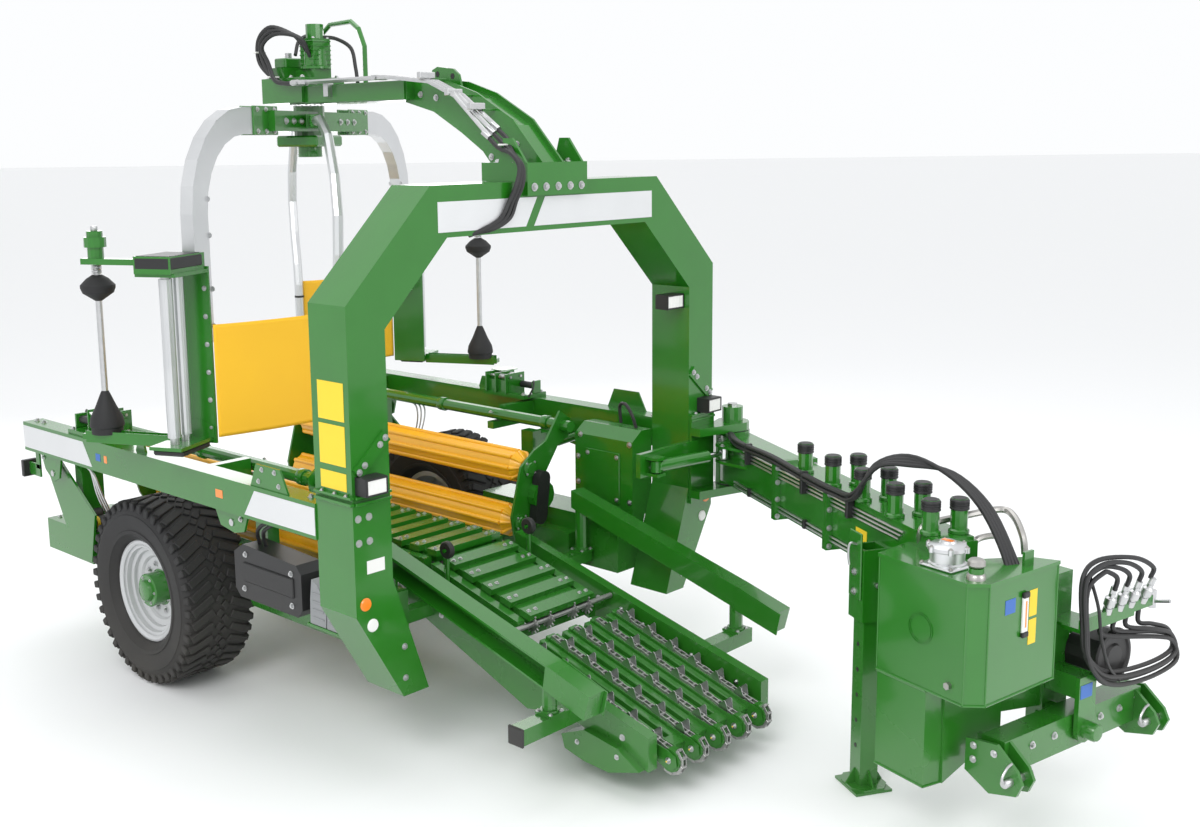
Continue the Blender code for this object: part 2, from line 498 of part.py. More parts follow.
def on_head(ahead, left):
    """A place in plan, from under the middle of the hitch bar."""
    turn = radians(HEAD_TURN)
    return HITCH + Vector((ahead * cos(turn) - left * sin(turn), ahead * sin(turn) + left * cos(turn), 0))


def to_bar(pieces):
    return moved(turned(pieces, BAR_TURN), PIVOT)


def to_head(pieces):
    return moved(turned(pieces, HEAD_TURN), HITCH)


def flat(*places):
    return [(place.x, place.y) for place in places]


HITCH = on_bar(BAR_LONG + HITCH_PAST[0], HITCH_PAST[1])
BAR_SIDE = BAR_W / 2
JACK_AT = (BAR_LONG - JACK_BACK, -BAR_SIDE - 0.062)
SWING_E = (SWING_OUT[0], -BAR_SIDE - SWING_OUT[1])


def drawbar():
    beam = [box((-0.05, BAR_LONG), (-BAR_SIDE, BAR_SIDE), (BAR_Z0, BAR_Z1)),
            rod((0, 0, BAR_Z0 - 0.02), (0, 0, BAR_Z1 + 0.02), 0.10, 16)]
    for along, top in ((0.77, BAR_Z1 + 0.02), (0.792, BAR_Z1 + 0.02), (1.33, BAR_Z1 - OVER), (1.352, BAR_Z1 - OVER)):
        beam.append(box((along, along + 0.018), (-BAR_SIDE - 0.03, BAR_SIDE + 0.03), (BAR_Z0 - 0.03, top)))
    u, n = SWING_E
    outline = [(u - 0.09, -BAR_SIDE + OVER), (u + 0.22, -BAR_SIDE + OVER), (u + 0.03, n - 0.035), (u - 0.03, n - 0.035)]
    for low in (SWING_Z - 0.052, SWING_Z + 0.036):
        beam.append(prism(outline, "z", low, low + 0.016))
    (u, n), wall = JACK_AT, JACK_SIDE / 2 + 0.018
    beam.append(box((u - wall, u + wall), (n - wall, -BAR_SIDE + OVER), (0.80, 1.13)))
    beam.append(box((BAR_LONG - 0.16, BAR_LONG - 0.006), (-0.08, 0.08), (0.69, BAR_Z0 + 0.01)))
    neck = prism(flat(on_bar(BAR_LONG - 0.01, 0.0), on_head(-0.10, -0.026), on_head(-0.15, 0.10),
                      on_bar(BAR_LONG - 0.15, 0.01)), "z", 0.48, BAR_Z0 + 0.02)
    centre = HITCH_Z + 0.06
    head = to_head([box((-0.17, -0.09), (-0.03, 0.145), (0.30, 1.06)),
                    rod((-0.12, 0.03, centre), (-0.064, 0.03, centre), 0.07, 16),
                    box((-0.10, 0.085), (-0.02, 0.08), (centre + 0.14, 0.66)),
                    box((0.064, 0.085), (-0.03, 0.09), (centre, 0.66)),
                    rod((0.064, 0.03, centre), (0.085, 0.03, centre), 0.06, 16)])
    bore = JACK_SIDE / 2 + 0.003
    socket = to_bar([box((u - bore, u + bore), (n - bore, n + bore), (0.5, 1.3))])
    node("drawbar", "green", to_bar(beam) + [neck] + head, socket, origin=PIVOT)
    pivot_bracket()


def pivot_bracket():
    """Two plates from the far leg that hold the beam's boss, and the cylinder's clevis inside the leg."""
    face, top, low = ARCH_X1 + GAP, BAR_Z1 + 0.026, BAR_Z0 - 0.026
    outline = [(face, 1.08), (PIVOT.x + 0.01, 1.08)] + arc(PIVOT, 0.095, -20, 180, 8) + [(face, PIVOT.y - 0.095)]
    pieces = [box((face, face + 0.016), (1.08, ARCH_OUT[1][0]), (low - 0.08, top + 0.11)),
              prism(outline, "z", top, top + 0.045), prism(outline, "z", low - 0.045, low),
              rod((PIVOT.x, PIVOT.y, top + 0.04), (PIVOT.x, PIVOT.y, top + 0.13), 0.06, 16)]
    reach = SWING_A[0] - 0.045
    pieces.append(box((face, reach), (SWING_A[1] - 0.08, 1.12), (SWING_Z - 0.06, SWING_Z + 0.07)))
    for z in (SWING_Z + 0.036, SWING_Z - 0.052):
        pieces.append(box((reach - 0.005, SWING_A[0] + 0.035), (SWING_A[1] - 0.035, SWING_A[1] + 0.035), (z, z + 0.016)))
    node("drawbar_bracket", "green", pieces)


def drawbar_fittings():
    """Film posts on the beam, the oil tank beside its end, and what stands on the headstock."""
    low = BAR_Z1 + GAP
    posts = [box((BAR_LONG - 1.33, BAR_LONG - 0.03), (-BAR_SIDE, BAR_SIDE), (low, low + 0.01))]
    for across, last, count in ((-0.062, 0.12, 5), (0.062, 0.10, 4)):  # row, last one behind the end, posts
        for i in range(count):
            u = BAR_LONG - last - 0.285 * i
            posts.append(rod((u, across, low + 0.006), (u, across, low + 0.16), 0.036, 12))
    node("film_posts", "green", to_bar(posts))
    near = -BAR_SIDE - GAP
    upper = flat(on_head(-0.447, -0.687), on_head(0.024, -0.726), on_head(0.081, -0.660), on_head(0.064, -0.195),
                 on_head(-0.045, -0.252), on_bar(BAR_LONG + 0.04, near), on_bar(BAR_LONG - 0.24, near))
    lower = flat(on_head(-0.445, -0.684), on_head(-0.170, -0.707), on_head(-0.158, -0.610), on_head(-0.430, -0.493))
    (fx, fy), (bx, by), (lx, ly) = (-0.165, -0.61), (0.01, -0.655), (0.018, -0.336)  # filter, breather, lug
    tops = [rod((fx, fy, TANK_Z1 - 0.01), (fx, fy, TANK_Z1 + 0.045), 0.062, 16),
            rod((bx, by, TANK_Z1 - 0.01), (bx, by, TANK_Z1 + 0.05), 0.03),
            box((lx - 0.006, lx + 0.006), (ly - 0.03, ly + 0.03), (TANK_Z1 - 0.01, TANK_Z1 + 0.06))]
    node("tank", "green", [prism(upper, "z", TANK_STEP, TANK_Z1), prism(lower, "z", TANK_Z0, TANK_STEP + 0.02)]
         + to_head(tops))
    stand = [box((-0.09 + GAP, 0.03), (-0.02, 0.14), (0.862, 0.875)), box((0.0, 0.10), (-0.06, 0.32), (0.868, 0.885)),
             box((-0.09 + GAP, -0.075), (-0.02, 0.14), (0.78, 0.87))]
    node("coupler_stand", "green", to_head(stand))
    guard = [rod((-0.09 + GAP, 0.235, 0.69), (0.06, 0.235, 0.69), 0.12, 16)]
    node("hose_guard", "black", to_head(guard))


def hitch():
    """Cross bar that rolls on the headstock, with a clevis at each end."""
    pieces = [box((-0.055, 0.055), (-HITCH_SPREAD, HITCH_SPREAD), (HITCH_Z - 0.02, HITCH_Z + 0.13))]
    for y in (-HITCH_SPREAD, HITCH_SPREAD):
        for off in (-0.046, 0.030):
            plate = [(-0.10, HITCH_Z + 0.11), (-0.10, HITCH_Z - 0.03), (0.02, HITCH_Z - 0.09), (0.15, HITCH_Z - 0.055),
                     (0.175, HITCH_Z), (0.15, HITCH_Z + 0.05), (0.05, HITCH_Z + 0.13)]
            pieces.append(prism(plate, "y", y + off, y + off + 0.016))
        pieces.append(rod((0.12, y - 0.075, HITCH_Z), (0.12, y + 0.075, HITCH_Z), 0.018, 12))
    centre = HITCH + Vector((0, 0, HITCH_Z + 0.06))
    node("hitch_bar", "green", to_head(pieces), origin=centre)


def jack():
    (u, n), half = JACK_AT, JACK_SIDE / 2
    parts = [box((u - half, u + half), (n - half, n + half), (0.006, 1.05)),
             box((u - 0.10, u + 0.10), (n - 0.09, n + 0.09), (0.0, JACK_FOOT))]
    node("jack_stand", "green", to_bar(parts))


def swing_cylinder():
    """Barrel on the leg's clevis and rod to the beam's lug, along the line between their eyes."""
    a, e = Vector((*SWING_A, SWING_Z)), on_bar(*SWING_E) + Vector((0, 0, SWING_Z))
    line, up = e - a, Vector((0, 0, 0.03))
    barrel = [rod(a - up, a + up, 0.03), rod(a, a + line * 0.75, 0.034, 16)]
    node("swing_barrel", "green", barrel, [rod(a + line * 0.16, a + line, 0.0205, 16)], origin=a)
    node("swing_rod", "steel", [rod(a + line * 0.20, e, 0.016, 12), rod(e - up, e + up, 0.03)], origin=e)


for make in (arch, side_beams, chassis, wheels, boom, rotor, carriages, conveyor, guides, ramp, leg_fittings, cutters,
             drawbar, drawbar_fittings, hitch, jack, swing_cylinder):
    make()

# The origin goes to the middle of the machine's box, on the ground.
bpy.context.view_layer.update()
graph = bpy.context.evaluated_depsgraph_get()
corners = []
for body in collection.objects:
    shape = body.evaluated_get(graph).data
    corners += [body.matrix_world @ vertex.co for vertex in shape.vertices]
middle = Vector([(min(c[i] for c in corners) + max(c[i] for c in corners)) / 2 for i in (0, 1)] + [0])
for body in collection.objects:
    body.location -= middle
for cutter in helpers.objects:
    cutter.location -= middle
print("shifted by", [round(v, 5) for v in middle])
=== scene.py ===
import json
import bpy
import bmesh
from math import atan2, cos, degrees, hypot, pi, radians, sin
from mathutils import Matrix, Vector


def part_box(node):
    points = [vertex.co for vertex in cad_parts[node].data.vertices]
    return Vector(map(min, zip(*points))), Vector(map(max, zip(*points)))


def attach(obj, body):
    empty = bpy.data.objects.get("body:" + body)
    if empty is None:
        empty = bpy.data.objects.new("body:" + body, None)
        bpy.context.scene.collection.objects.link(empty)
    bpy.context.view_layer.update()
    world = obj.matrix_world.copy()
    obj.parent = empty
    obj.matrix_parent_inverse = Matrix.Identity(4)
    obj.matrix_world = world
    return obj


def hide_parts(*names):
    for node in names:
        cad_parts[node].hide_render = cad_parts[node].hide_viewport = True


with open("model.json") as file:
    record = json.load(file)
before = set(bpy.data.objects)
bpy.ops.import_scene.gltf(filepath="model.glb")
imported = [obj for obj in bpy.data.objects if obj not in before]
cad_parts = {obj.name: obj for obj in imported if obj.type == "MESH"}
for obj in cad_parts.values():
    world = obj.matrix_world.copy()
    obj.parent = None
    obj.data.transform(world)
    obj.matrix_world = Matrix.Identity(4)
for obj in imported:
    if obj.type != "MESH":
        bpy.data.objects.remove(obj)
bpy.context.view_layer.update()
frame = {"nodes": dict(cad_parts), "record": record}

nodes = frame["nodes"]
joints = {joint["name"]: joint for joint in frame["record"]["behaviour"]["joints"]}


def jointAt(name, level=None):
    place = Vector(joints[name]["pos_m"])
    return place if level is None else Vector((place.x, place.y, level))


# places that the details are measured from: the axle, the rotor, the drawbar and the hitch's headstock
axlePlace = Matrix.Translation((jointAt("wheel_spin_right").x, 0, 0))
rotorAt, armFoot = jointAt("rotor_turn", 0), jointAt("film_roller_inner_spin_right", 0)
armTurn, tubeTurn, barTurn = atan2(armFoot.y - rotorAt.y, armFoot.x - rotorAt.x), radians(-29), radians(-30)
hitchAxis = joints["hitch_roll"]["axis"]
barPlace = Matrix.Translation(jointAt("drawbar_swing", 0)) @ Matrix.Rotation(barTurn, 4, "Z")
hitchTurn = Matrix.Rotation(atan2(hitchAxis[1], hitchAxis[0]), 4, "Z")
headPlace = Matrix.Translation(jointAt("hitch_roll", 0)) @ hitchTurn

# ---- camera, floor and light ----
view = {"fromAxle": (6.5616, -4.8385, 2.914), "heading": 133.7197, "tilt": -9.8165, "roll": -0.7234,
        "lens": 40.947, "shiftX": 0.0421, "shiftY": -0.0302}


def makeCamera():
    heading, tilt, roll = (radians(view[key]) for key in ("heading", "tilt", "roll"))
    ahead = Vector((cos(heading) * cos(tilt), sin(heading) * cos(tilt), sin(tilt)))
    right = ahead.cross(Vector((0, 0, 1))).normalized()
    up = right.cross(ahead)
    right, up = right * cos(roll) + up * sin(roll), up * cos(roll) - right * sin(roll)
    lens = bpy.data.cameras.new("camera")
    lens.lens, lens.shift_x, lens.shift_y = view["lens"], view["shiftX"], view["shiftY"]
    lens.clip_end = 200
    camera = bpy.data.objects.new("camera", lens)
    turn = Matrix((right, up, -ahead)).transposed().to_4x4()
    camera.matrix_world = axlePlace @ Matrix.Translation(view["fromAxle"]) @ turn
    bpy.context.collection.objects.link(camera)
    bpy.context.scene.camera = camera


def areaLight(name, place, aim, size, power):
    lamp = bpy.data.lights.new(name, "AREA")
    lamp.shape, lamp.size, lamp.size_y, lamp.energy = "RECTANGLE", size[0], size[1], power
    holder = bpy.data.objects.new(name, lamp)
    holder.location = place
    holder.rotation_euler = (Vector(aim) - Vector(place)).to_track_quat("-Z", "Y").to_euler()
    bpy.context.collection.objects.link(holder)


def makeStage():
    sheet = bmesh.new()
    bmesh.ops.create_grid(sheet, x_segments=1, y_segments=1, size=400)
    data = bpy.data.meshes.new("floor")
    sheet.to_mesh(data)
    sheet.free()
    floor = bpy.data.objects.new("floor", data)
    bpy.context.collection.objects.link(floor)
    pale = bpy.data.materials.new("floor")
    pale.use_nodes = True
    shader = pale.node_tree.nodes["Principled BSDF"]
    shader.inputs["Base Color"].default_value = (0.90, 0.905, 0.91, 1)
    shader.inputs["Roughness"].default_value = 0.7
    data.materials.append(pale)
    world = bpy.data.worlds.new("studio")
    world.use_nodes = True
    sky = world.node_tree.nodes["Background"]
    sky.inputs["Color"].default_value = (0.98, 0.99, 1.0, 1)
    sky.inputs["Strength"].default_value = 1.0
    bpy.context.scene.world = world
    areaLight("key", (3.5, -7.5, 7.5), (0, 0, 1.2), (5, 4), 400)
    areaLight("fill", (8.5, 1.5, 4.5), (0.5, 0, 1.2), (4, 4), 150)
    areaLight("top", (-1, 1, 8.5), (-0.5, 0, 1), (6, 6), 120)
    areaLight("back", (-7, 4, 4), (0, 0, 1.5), (5, 3), 90)
    scene = bpy.context.scene
    scene.view_settings.view_transform = "Standard"


makeCamera()
makeStage()
print("camera and stage made")


# ---- effects that several finishes share ----
def newGroup(name, inputs, outputs):
    group = bpy.data.node_groups.new(name, "ShaderNodeTree")
    for side, sockets in (("INPUT", inputs), ("OUTPUT", outputs)):
        for label, kind, *default in sockets:
            socket = group.interface.new_socket(label, in_out=side, socket_type=kind)
            if default:
                socket.default_value = default[0]
    return group, group.nodes.new("NodeGroupInput"), group.nodes.new("NodeGroupOutput")


def addNode(tree, kind, **values):
    made = tree.nodes.new(kind)
    for key, value in values.items():
        if key in made.inputs:
            made.inputs[key].default_value = value
        else:
            setattr(made, key, value)
    return made


def noiseAt(tree, scale, detail=3.0, stretch=(1, 1, 1)):
    place = tree.nodes.new("ShaderNodeTexCoord")
    spread = tree.nodes.new("ShaderNodeMapping")
    spread.inputs["Scale"].default_value = stretch
    noise = addNode(tree, "ShaderNodeTexNoise", Scale=scale, Detail=detail)
    tree.links.new(place.outputs["Object"], spread.inputs["Vector"])
    tree.links.new(spread.outputs["Vector"], noise.inputs["Vector"])
    return noise


def makeDust():
    # pale dust that lies low down, in soft patches
    group, given, out = newGroup(
        "roadDust", [("Colour", "NodeSocketColor"), ("Dust", "NodeSocketColor", (0.42, 0.38, 0.30, 1)),
                     ("Amount", "NodeSocketFloat", 0.2), ("Height", "NodeSocketFloat", 0.9)],
        [("Colour", "NodeSocketColor"), ("Mask", "NodeSocketFloat")])
    link = group.links.new
    place = group.nodes.new("ShaderNodeTexCoord")
    parts = group.nodes.new("ShaderNodeSeparateXYZ")
    link(place.outputs["Object"], parts.inputs["Vector"])
    low = addNode(group, "ShaderNodeMath", operation="DIVIDE")
    link(parts.outputs["Z"], low.inputs[0])
    link(given.outputs["Height"], low.inputs[1])
    fall = addNode(group, "ShaderNodeMath", operation="SUBTRACT", use_clamp=True)
    fall.inputs[0].default_value = 1.0
    link(low.outputs[0], fall.inputs[1])
    patch = noiseAt(group, 3.0, 6.0)
    uneven = addNode(group, "ShaderNodeMath", operation="MULTIPLY")
    link(fall.outputs[0], uneven.inputs[0])
    link(patch.outputs["Fac"], uneven.inputs[1])
    scaled = addNode(group, "ShaderNodeMath", operation="MULTIPLY", use_clamp=True)
    link(uneven.outputs[0], scaled.inputs[0])
    link(given.outputs["Amount"], scaled.inputs[1])
    mix = addNode(group, "ShaderNodeMix", data_type="RGBA")
    link(scaled.outputs[0], mix.inputs["Factor"])
    link(given.outputs["Colour"], mix.inputs[6])
    link(given.outputs["Dust"], mix.inputs[7])
    link(mix.outputs[2], out.inputs["Colour"])
    link(scaled.outputs[0], out.inputs["Mask"])
    return group


def makeMottle():
    # slight changes of shade and gloss from place to place
    group, given, out = newGroup(
        "mottle", [("Dark", "NodeSocketColor"), ("Light", "NodeSocketColor"),
                   ("Scale", "NodeSocketFloat", 4.0),
                   ("Gloss", "NodeSocketFloat", 0.3), ("Spread", "NodeSocketFloat", 0.1)],
        [("Colour", "NodeSocketColor"), ("Roughness", "NodeSocketFloat")])
    link = group.links.new
    noise = noiseAt(group, 4.0, 5.0)
    link(given.outputs["Scale"], noise.inputs["Scale"])
    mix = addNode(group, "ShaderNodeMix", data_type="RGBA")
    link(noise.outputs["Fac"], mix.inputs["Factor"])
    link(given.outputs["Dark"], mix.inputs[6])
    link(given.outputs["Light"], mix.inputs[7])
    link(mix.outputs[2], out.inputs["Colour"])
    gloss = addNode(group, "ShaderNodeMath", operation="MULTIPLY_ADD")
    link(noise.outputs["Fac"], gloss.inputs[0])
    link(given.outputs["Spread"], gloss.inputs[1])
    link(given.outputs["Gloss"], gloss.inputs[2])
    link(gloss.outputs[0], out.inputs["Roughness"])
    return group


dust, mottle = makeDust(), makeMottle()


def finish(name, dark, light, gloss, metallic=0.0, coat=0.0, dirt=0.25, grain=60.0, bump=0.02, scale=4.0,
           spread=0.1,
           stretch=(1, 1, 1), depth=0.0005, coatGloss=0.08):
    made = bpy.data.materials.new(name)
    made.use_nodes = True
    tree = made.node_tree
    shader = tree.nodes["Principled BSDF"]
    shader.inputs["Metallic"].default_value = metallic
    shader.inputs["Coat Weight"].default_value = coat
    shader.inputs["Coat Roughness"].default_value = coatGloss
    shade = addNode(tree, "ShaderNodeGroup", node_tree=mottle)
    for key, value in (("Dark", (*dark, 1)), ("Light", (*light, 1)), ("Scale", scale), ("Gloss", gloss),
                       ("Spread", spread)):
        shade.inputs[key].default_value = value
    settled = addNode(tree, "ShaderNodeGroup", node_tree=dust)
    settled.inputs["Amount"].default_value = dirt
    tree.links.new(shade.outputs["Colour"], settled.inputs["Colour"])
    tree.links.new(settled.outputs["Colour"], shader.inputs["Base Color"])
    rough = addNode(tree, "ShaderNodeMath", operation="ADD", use_clamp=True)
    tree.links.new(shade.outputs["Roughness"], rough.inputs[0])
    tree.links.new(settled.outputs["Mask"], rough.inputs[1])
    tree.links.new(rough.outputs[0], shader.inputs["Roughness"])
    relief = noiseAt(tree, grain, 2.0, stretch)
    lift = addNode(tree, "ShaderNodeBump", Strength=bump, Distance=depth)
    tree.links.new(relief.outputs["Fac"], lift.inputs["Height"])
    tree.links.new(lift.outputs["Normal"], shader.inputs["Normal"])
    return made


greenPaint = finish("greenPaint", (0.012, 0.142, 0.006), (0.017, 0.176, 0.010), 0.20, coat=0.6, dirt=0.08,
                    grain=140, bump=0.12)
rimPaint = finish("rimPaint", (0.50, 0.51, 0.52), (0.60, 0.61, 0.62), 0.30, metallic=0.35, coat=0.2,
                  dirt=0.12, grain=90, bump=0.1)
rubber = finish("rubber", (0.009, 0.009, 0.010), (0.016, 0.016, 0.017), 0.58, dirt=0.14, grain=80, bump=0.3,
                spread=0.2)
blackPlastic = finish("blackPlastic", (0.010, 0.010, 0.011), (0.018, 0.018, 0.019), 0.38, dirt=0.1,
                      grain=400, bump=0.25)
yellowPaint = finish("yellowPaint", (0.88, 0.42, 0.008), (0.94, 0.48, 0.010), 0.26, coat=0.3, dirt=0.05,
                     grain=120, bump=0.1)
aluminium = finish("aluminium", (0.60, 0.61, 0.62), (0.72, 0.73, 0.74), 0.30, metallic=1.0, dirt=0.0,
                   grain=30, bump=0.08,
                   stretch=(1, 1, 0.08))
silver = finish("silver", (0.66, 0.67, 0.68), (0.72, 0.73, 0.74), 0.34, metallic=0.4, dirt=0.05, grain=300)
yellowLabel = finish("yellowLabel", (0.82, 0.56, 0.02), (0.88, 0.62, 0.03), 0.40, dirt=0.05, grain=300)
blueLabel = finish("blueLabel", (0.03, 0.12, 0.42), (0.04, 0.15, 0.48), 0.40, dirt=0.05, grain=300)
whitePlastic = finish("whitePlastic", (0.74, 0.74, 0.72), (0.80, 0.80, 0.78), 0.42, dirt=0.10, grain=300)
amber = finish("amber", (0.85, 0.20, 0.01), (0.92, 0.26, 0.02), 0.14, coat=0.6, dirt=0.0, grain=500,
               bump=0.4)
redLens = finish("redLens", (0.42, 0.008, 0.008), (0.52, 0.012, 0.010), 0.14, coat=0.6, dirt=0.0, grain=500,
                 bump=0.4)
hoseRubber = finish("hoseRubber", (0.014, 0.014, 0.015), (0.022, 0.022, 0.023), 0.44, dirt=0.10, grain=500,
                    bump=0.3)
satinSteel = finish("satinSteel", (0.42, 0.41, 0.39), (0.50, 0.49, 0.47), 0.30, metallic=1.0, dirt=0.05,
                    grain=200)
chrome = finish("chrome", (0.72, 0.73, 0.74), (0.80, 0.81, 0.82), 0.08, metallic=1.0, dirt=0.0, grain=200,
                bump=0.03)
zinc = finish("zinc", (0.50, 0.51, 0.52), (0.66, 0.66, 0.66), 0.28, metallic=1.0, dirt=0.05, grain=200,
              bump=0.1, scale=30)


def dress(name, material):
    data = nodes[name].data
    data.materials.clear()
    data.materials.append(material)


blackNodes = ("axle", "headlamp_left", "headlamp_right", "work_lamp", "drive_cover", "hose_guard")
for name in nodes:
    if name.startswith("tyre"):
        dress(name, rubber)
    elif name.startswith("rim"):
        dress(name, rimPaint)
    elif name.startswith("yellow_roller"):
        dress(name, yellowPaint)
    elif name.startswith(("wrap_arm", "curtain_tube", "film_roller")):
        dress(name, aluminium)
    elif name in blackNodes:
        dress(name, blackPlastic)
    elif name.startswith("film_mast") or name in ("boom_pipes", "swing_rod"):
        dress(name, chrome if name == "swing_rod" else zinc)
    elif not name.startswith("curtain"):
        dress(name, greenPaint)
print("frame dressed")


# ---- curtains ----
curtain = {"thick": 0.0016, "sag": 0.012, "columns": 36, "rows": 30}


def makeCloth():
    made = bpy.data.materials.new("curtainCloth")
    made.use_nodes = True
    tree = made.node_tree
    shader = tree.nodes["Principled BSDF"]
    shader.inputs["Sheen Weight"].default_value = 0.2
    shade = addNode(tree, "ShaderNodeGroup", node_tree=mottle)
    for key, value in (("Dark", (0.90, 0.47, 0.006, 1)), ("Light", (0.96, 0.54, 0.008, 1)), ("Scale", 2.0),
                       ("Gloss", 0.48), ("Spread", 0.08)):
        shade.inputs[key].default_value = value
    tree.links.new(shade.outputs["Colour"], shader.inputs["Base Color"])
    tree.links.new(shade.outputs["Roughness"], shader.inputs["Roughness"])
    place = tree.nodes.new("ShaderNodeUVMap")
    weave = addNode(tree, "ShaderNodeTexWave", Scale=160.0, Distortion=0.3)
    tree.links.new(place.outputs["UV"], weave.inputs["Vector"])
    lift = addNode(tree, "ShaderNodeBump", Strength=0.12, Distance=0.0006)
    tree.links.new(weave.outputs["Fac"], lift.inputs["Height"])
    tree.links.new(lift.outputs["Normal"], shader.inputs["Normal"])
    return made


def makeCurtain(side):
    node = nodes["curtain_" + side]
    points = [node.matrix_world @ vertex.co for vertex in node.data.vertices]
    low, high = min(p.z for p in points), max(p.z for p in points)
    flat = [Vector((p.x, p.y, 0)) for p in points]
    ends = sorted(flat, key=lambda p: p.y)
    start, end = ends[0], ends[-1]
    along = (end - start)
    out = Vector((-along.y, along.x, 0)).normalized()
    sheet = bmesh.new()
    bmesh.ops.create_grid(sheet, x_segments=curtain["columns"], y_segments=curtain["rows"], size=0.5,
                          calc_uvs=True)
    uv = sheet.loops.layers.uv.verify()
    for face in sheet.faces:
        for loop in face.loops:
            loop[uv].uv = ((loop.vert.co.x + 0.5) * along.length, (loop.vert.co.y + 0.5) * (high - low))
    for vertex in sheet.verts:
        u, v = vertex.co.x + 0.5, vertex.co.y + 0.5
        bulge = curtain["sag"] * sin(pi * u) * (0.5 + 0.5 * sin(pi * v)) + 0.002 * sin(9 * u +
                                                                                       4 * v) * sin(pi * u)
        vertex.co = start + along * u + out * bulge + Vector((0, 0, low + (high - low) * v -
                                                              0.006 * sin(pi * u)))
    bmesh.ops.recalc_face_normals(sheet, faces=sheet.faces)
    data = bpy.data.meshes.new("cloth_" + side)
    sheet.to_mesh(data)
    sheet.free()
    for face in data.polygons:
        face.use_smooth = True
    piece = bpy.data.objects.new("cloth_" + side, data)
    bpy.context.collection.objects.link(piece)
    data.materials.append(clothFinish)
    wall = piece.modifiers.new("wall", "SOLIDIFY")
    wall.thickness, wall.offset = curtain["thick"], 0
    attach(piece, "rotor")
    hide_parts("curtain_" + side)


clothFinish = makeCloth()
for side in ("right", "left"):
    makeCurtain(side)
print("curtains made")

# ---- tools for small pieces ----
still = Matrix.Identity(4)


def facing(origin, right, up):
    # a plane to draw on: its own x and y as given, its z out of the surface
    right, up = Vector(right).normalized(), Vector(up).normalized()
    return Matrix.Translation(origin) @ Matrix((right, up, right.cross(up))).transposed().to_4x4()


def sideFace(y, side=-1):
    # the machine's right or left side, drawn in x and z
    return facing((0, y, 0), (1, 0, 0), (0, 0, 1)) if side < 0 else facing((0, y, 0), (-1, 0, 0), (0, 0, 1))


def frontFace(x):
    return facing((x, 0, 0), (0, 1, 0), (0, 0, 1))  # drawn in y and z


def addBox(form, x, y, z, place=axlePlace, cut=0.0):
    made = bmesh.ops.create_cube(form, size=1)["verts"]
    spans = [(max(pair) - min(pair)) for pair in (x, y, z)]
    middle = Matrix.Translation([sum(pair) / 2 for pair in (x, y, z)])
    bmesh.ops.transform(form, matrix=place @ middle @ Matrix.Diagonal((*spans, 1)), verts=made)
    if cut:
        edges = list({edge for vertex in made for edge in vertex.link_edges})
        bmesh.ops.bevel(form, geom=edges, offset=cut, segments=1, affect="EDGES", profile=0.5, material=-1)


def addRod(form, start, end, radius, place=axlePlace, sides=16, tip=None, cut=0.0):
    start, end = Vector(start), Vector(end)
    made = bmesh.ops.create_cone(form, cap_ends=True, segments=sides, radius1=radius,
                                 radius2=radius if tip is None else tip,
                                 depth=(end - start).length)["verts"]
    turn = (end - start).to_track_quat("Z", "Y").to_matrix().to_4x4()
    bmesh.ops.transform(form, matrix=place @ Matrix.Translation((start + end) / 2) @ turn, verts=made)
    if cut:
        rims = {edge for vertex in made for edge in vertex.link_edges
                if any(len(face.verts) > 4 for face in edge.link_faces)}
        bmesh.ops.bevel(form, geom=list(rims), offset=cut, segments=2, affect="EDGES", profile=0.5,
                        material=-1)


def addBolt(form, spot, out, size=0.012, place=axlePlace):
    # washer, hexagonal head and the end of the thread
    spot, out = Vector(spot), Vector(out).normalized()
    for low, high, radius, sides in ((-0.001, 0.22, 1.45, 14), (0.2, 0.9, 1.0, 6), (0.85, 1.2, 0.55, 8)):
        addRod(form, spot + out * low * size, spot + out * high * size, radius * size, place, sides)


def addPlate(form, outline, place, thick):
    # a flat outline in the place's x and y, drawn up along its z
    face = form.faces.new([form.verts.new(place @ Vector((a, b, 0))) for a, b in outline])
    grown = bmesh.ops.extrude_face_region(form, geom=[face])["geom"]
    lift = place.to_3x3() @ Vector((0, 0, thick))
    bmesh.ops.translate(form, vec=lift,
                        verts=[item for item in grown if isinstance(item, bmesh.types.BMVert)])


def addTurned(form, profile, place, steps=48, closed=False):
    # a profile of (radius, height) turned about the place's z
    rows = [form.verts.new((radius, 0, height)) for radius, height in profile]
    pairs = list(zip(rows, rows[1:])) + ([(rows[-1], rows[0])] if closed else [])
    edges = [form.edges.new(pair) for pair in pairs]
    before = set(form.verts) - set(rows)
    bmesh.ops.spin(form, geom=rows + edges, cent=(0, 0, 0), axis=(0, 0, 1), angle=2 * pi, steps=steps,
                   use_merge=True)
    made = [vertex for vertex in form.verts if vertex not in before]
    bmesh.ops.transform(form, matrix=place, verts=made)
    bmesh.ops.remove_doubles(form, verts=made, dist=0.00005)


def softLine(points, steps=6):
    # a smooth line through the points
    points = [Vector(point) for point in points]
    ends = [points[0] * 2 - points[1]] + points + [points[-1] * 2 - points[-2]]
    line = []
    for a, b, c, d in zip(ends, ends[1:], ends[2:], ends[3:]):
        for i in range(steps):
            t = i / steps
            line.append(0.5 * (2 * b + (c - a) * t + (2 * a - 5 * b + 4 * c - d) * t * t
                               + (3 * b - a - 3 * c + d) * t ** 3))
    return line + [points[-1]]


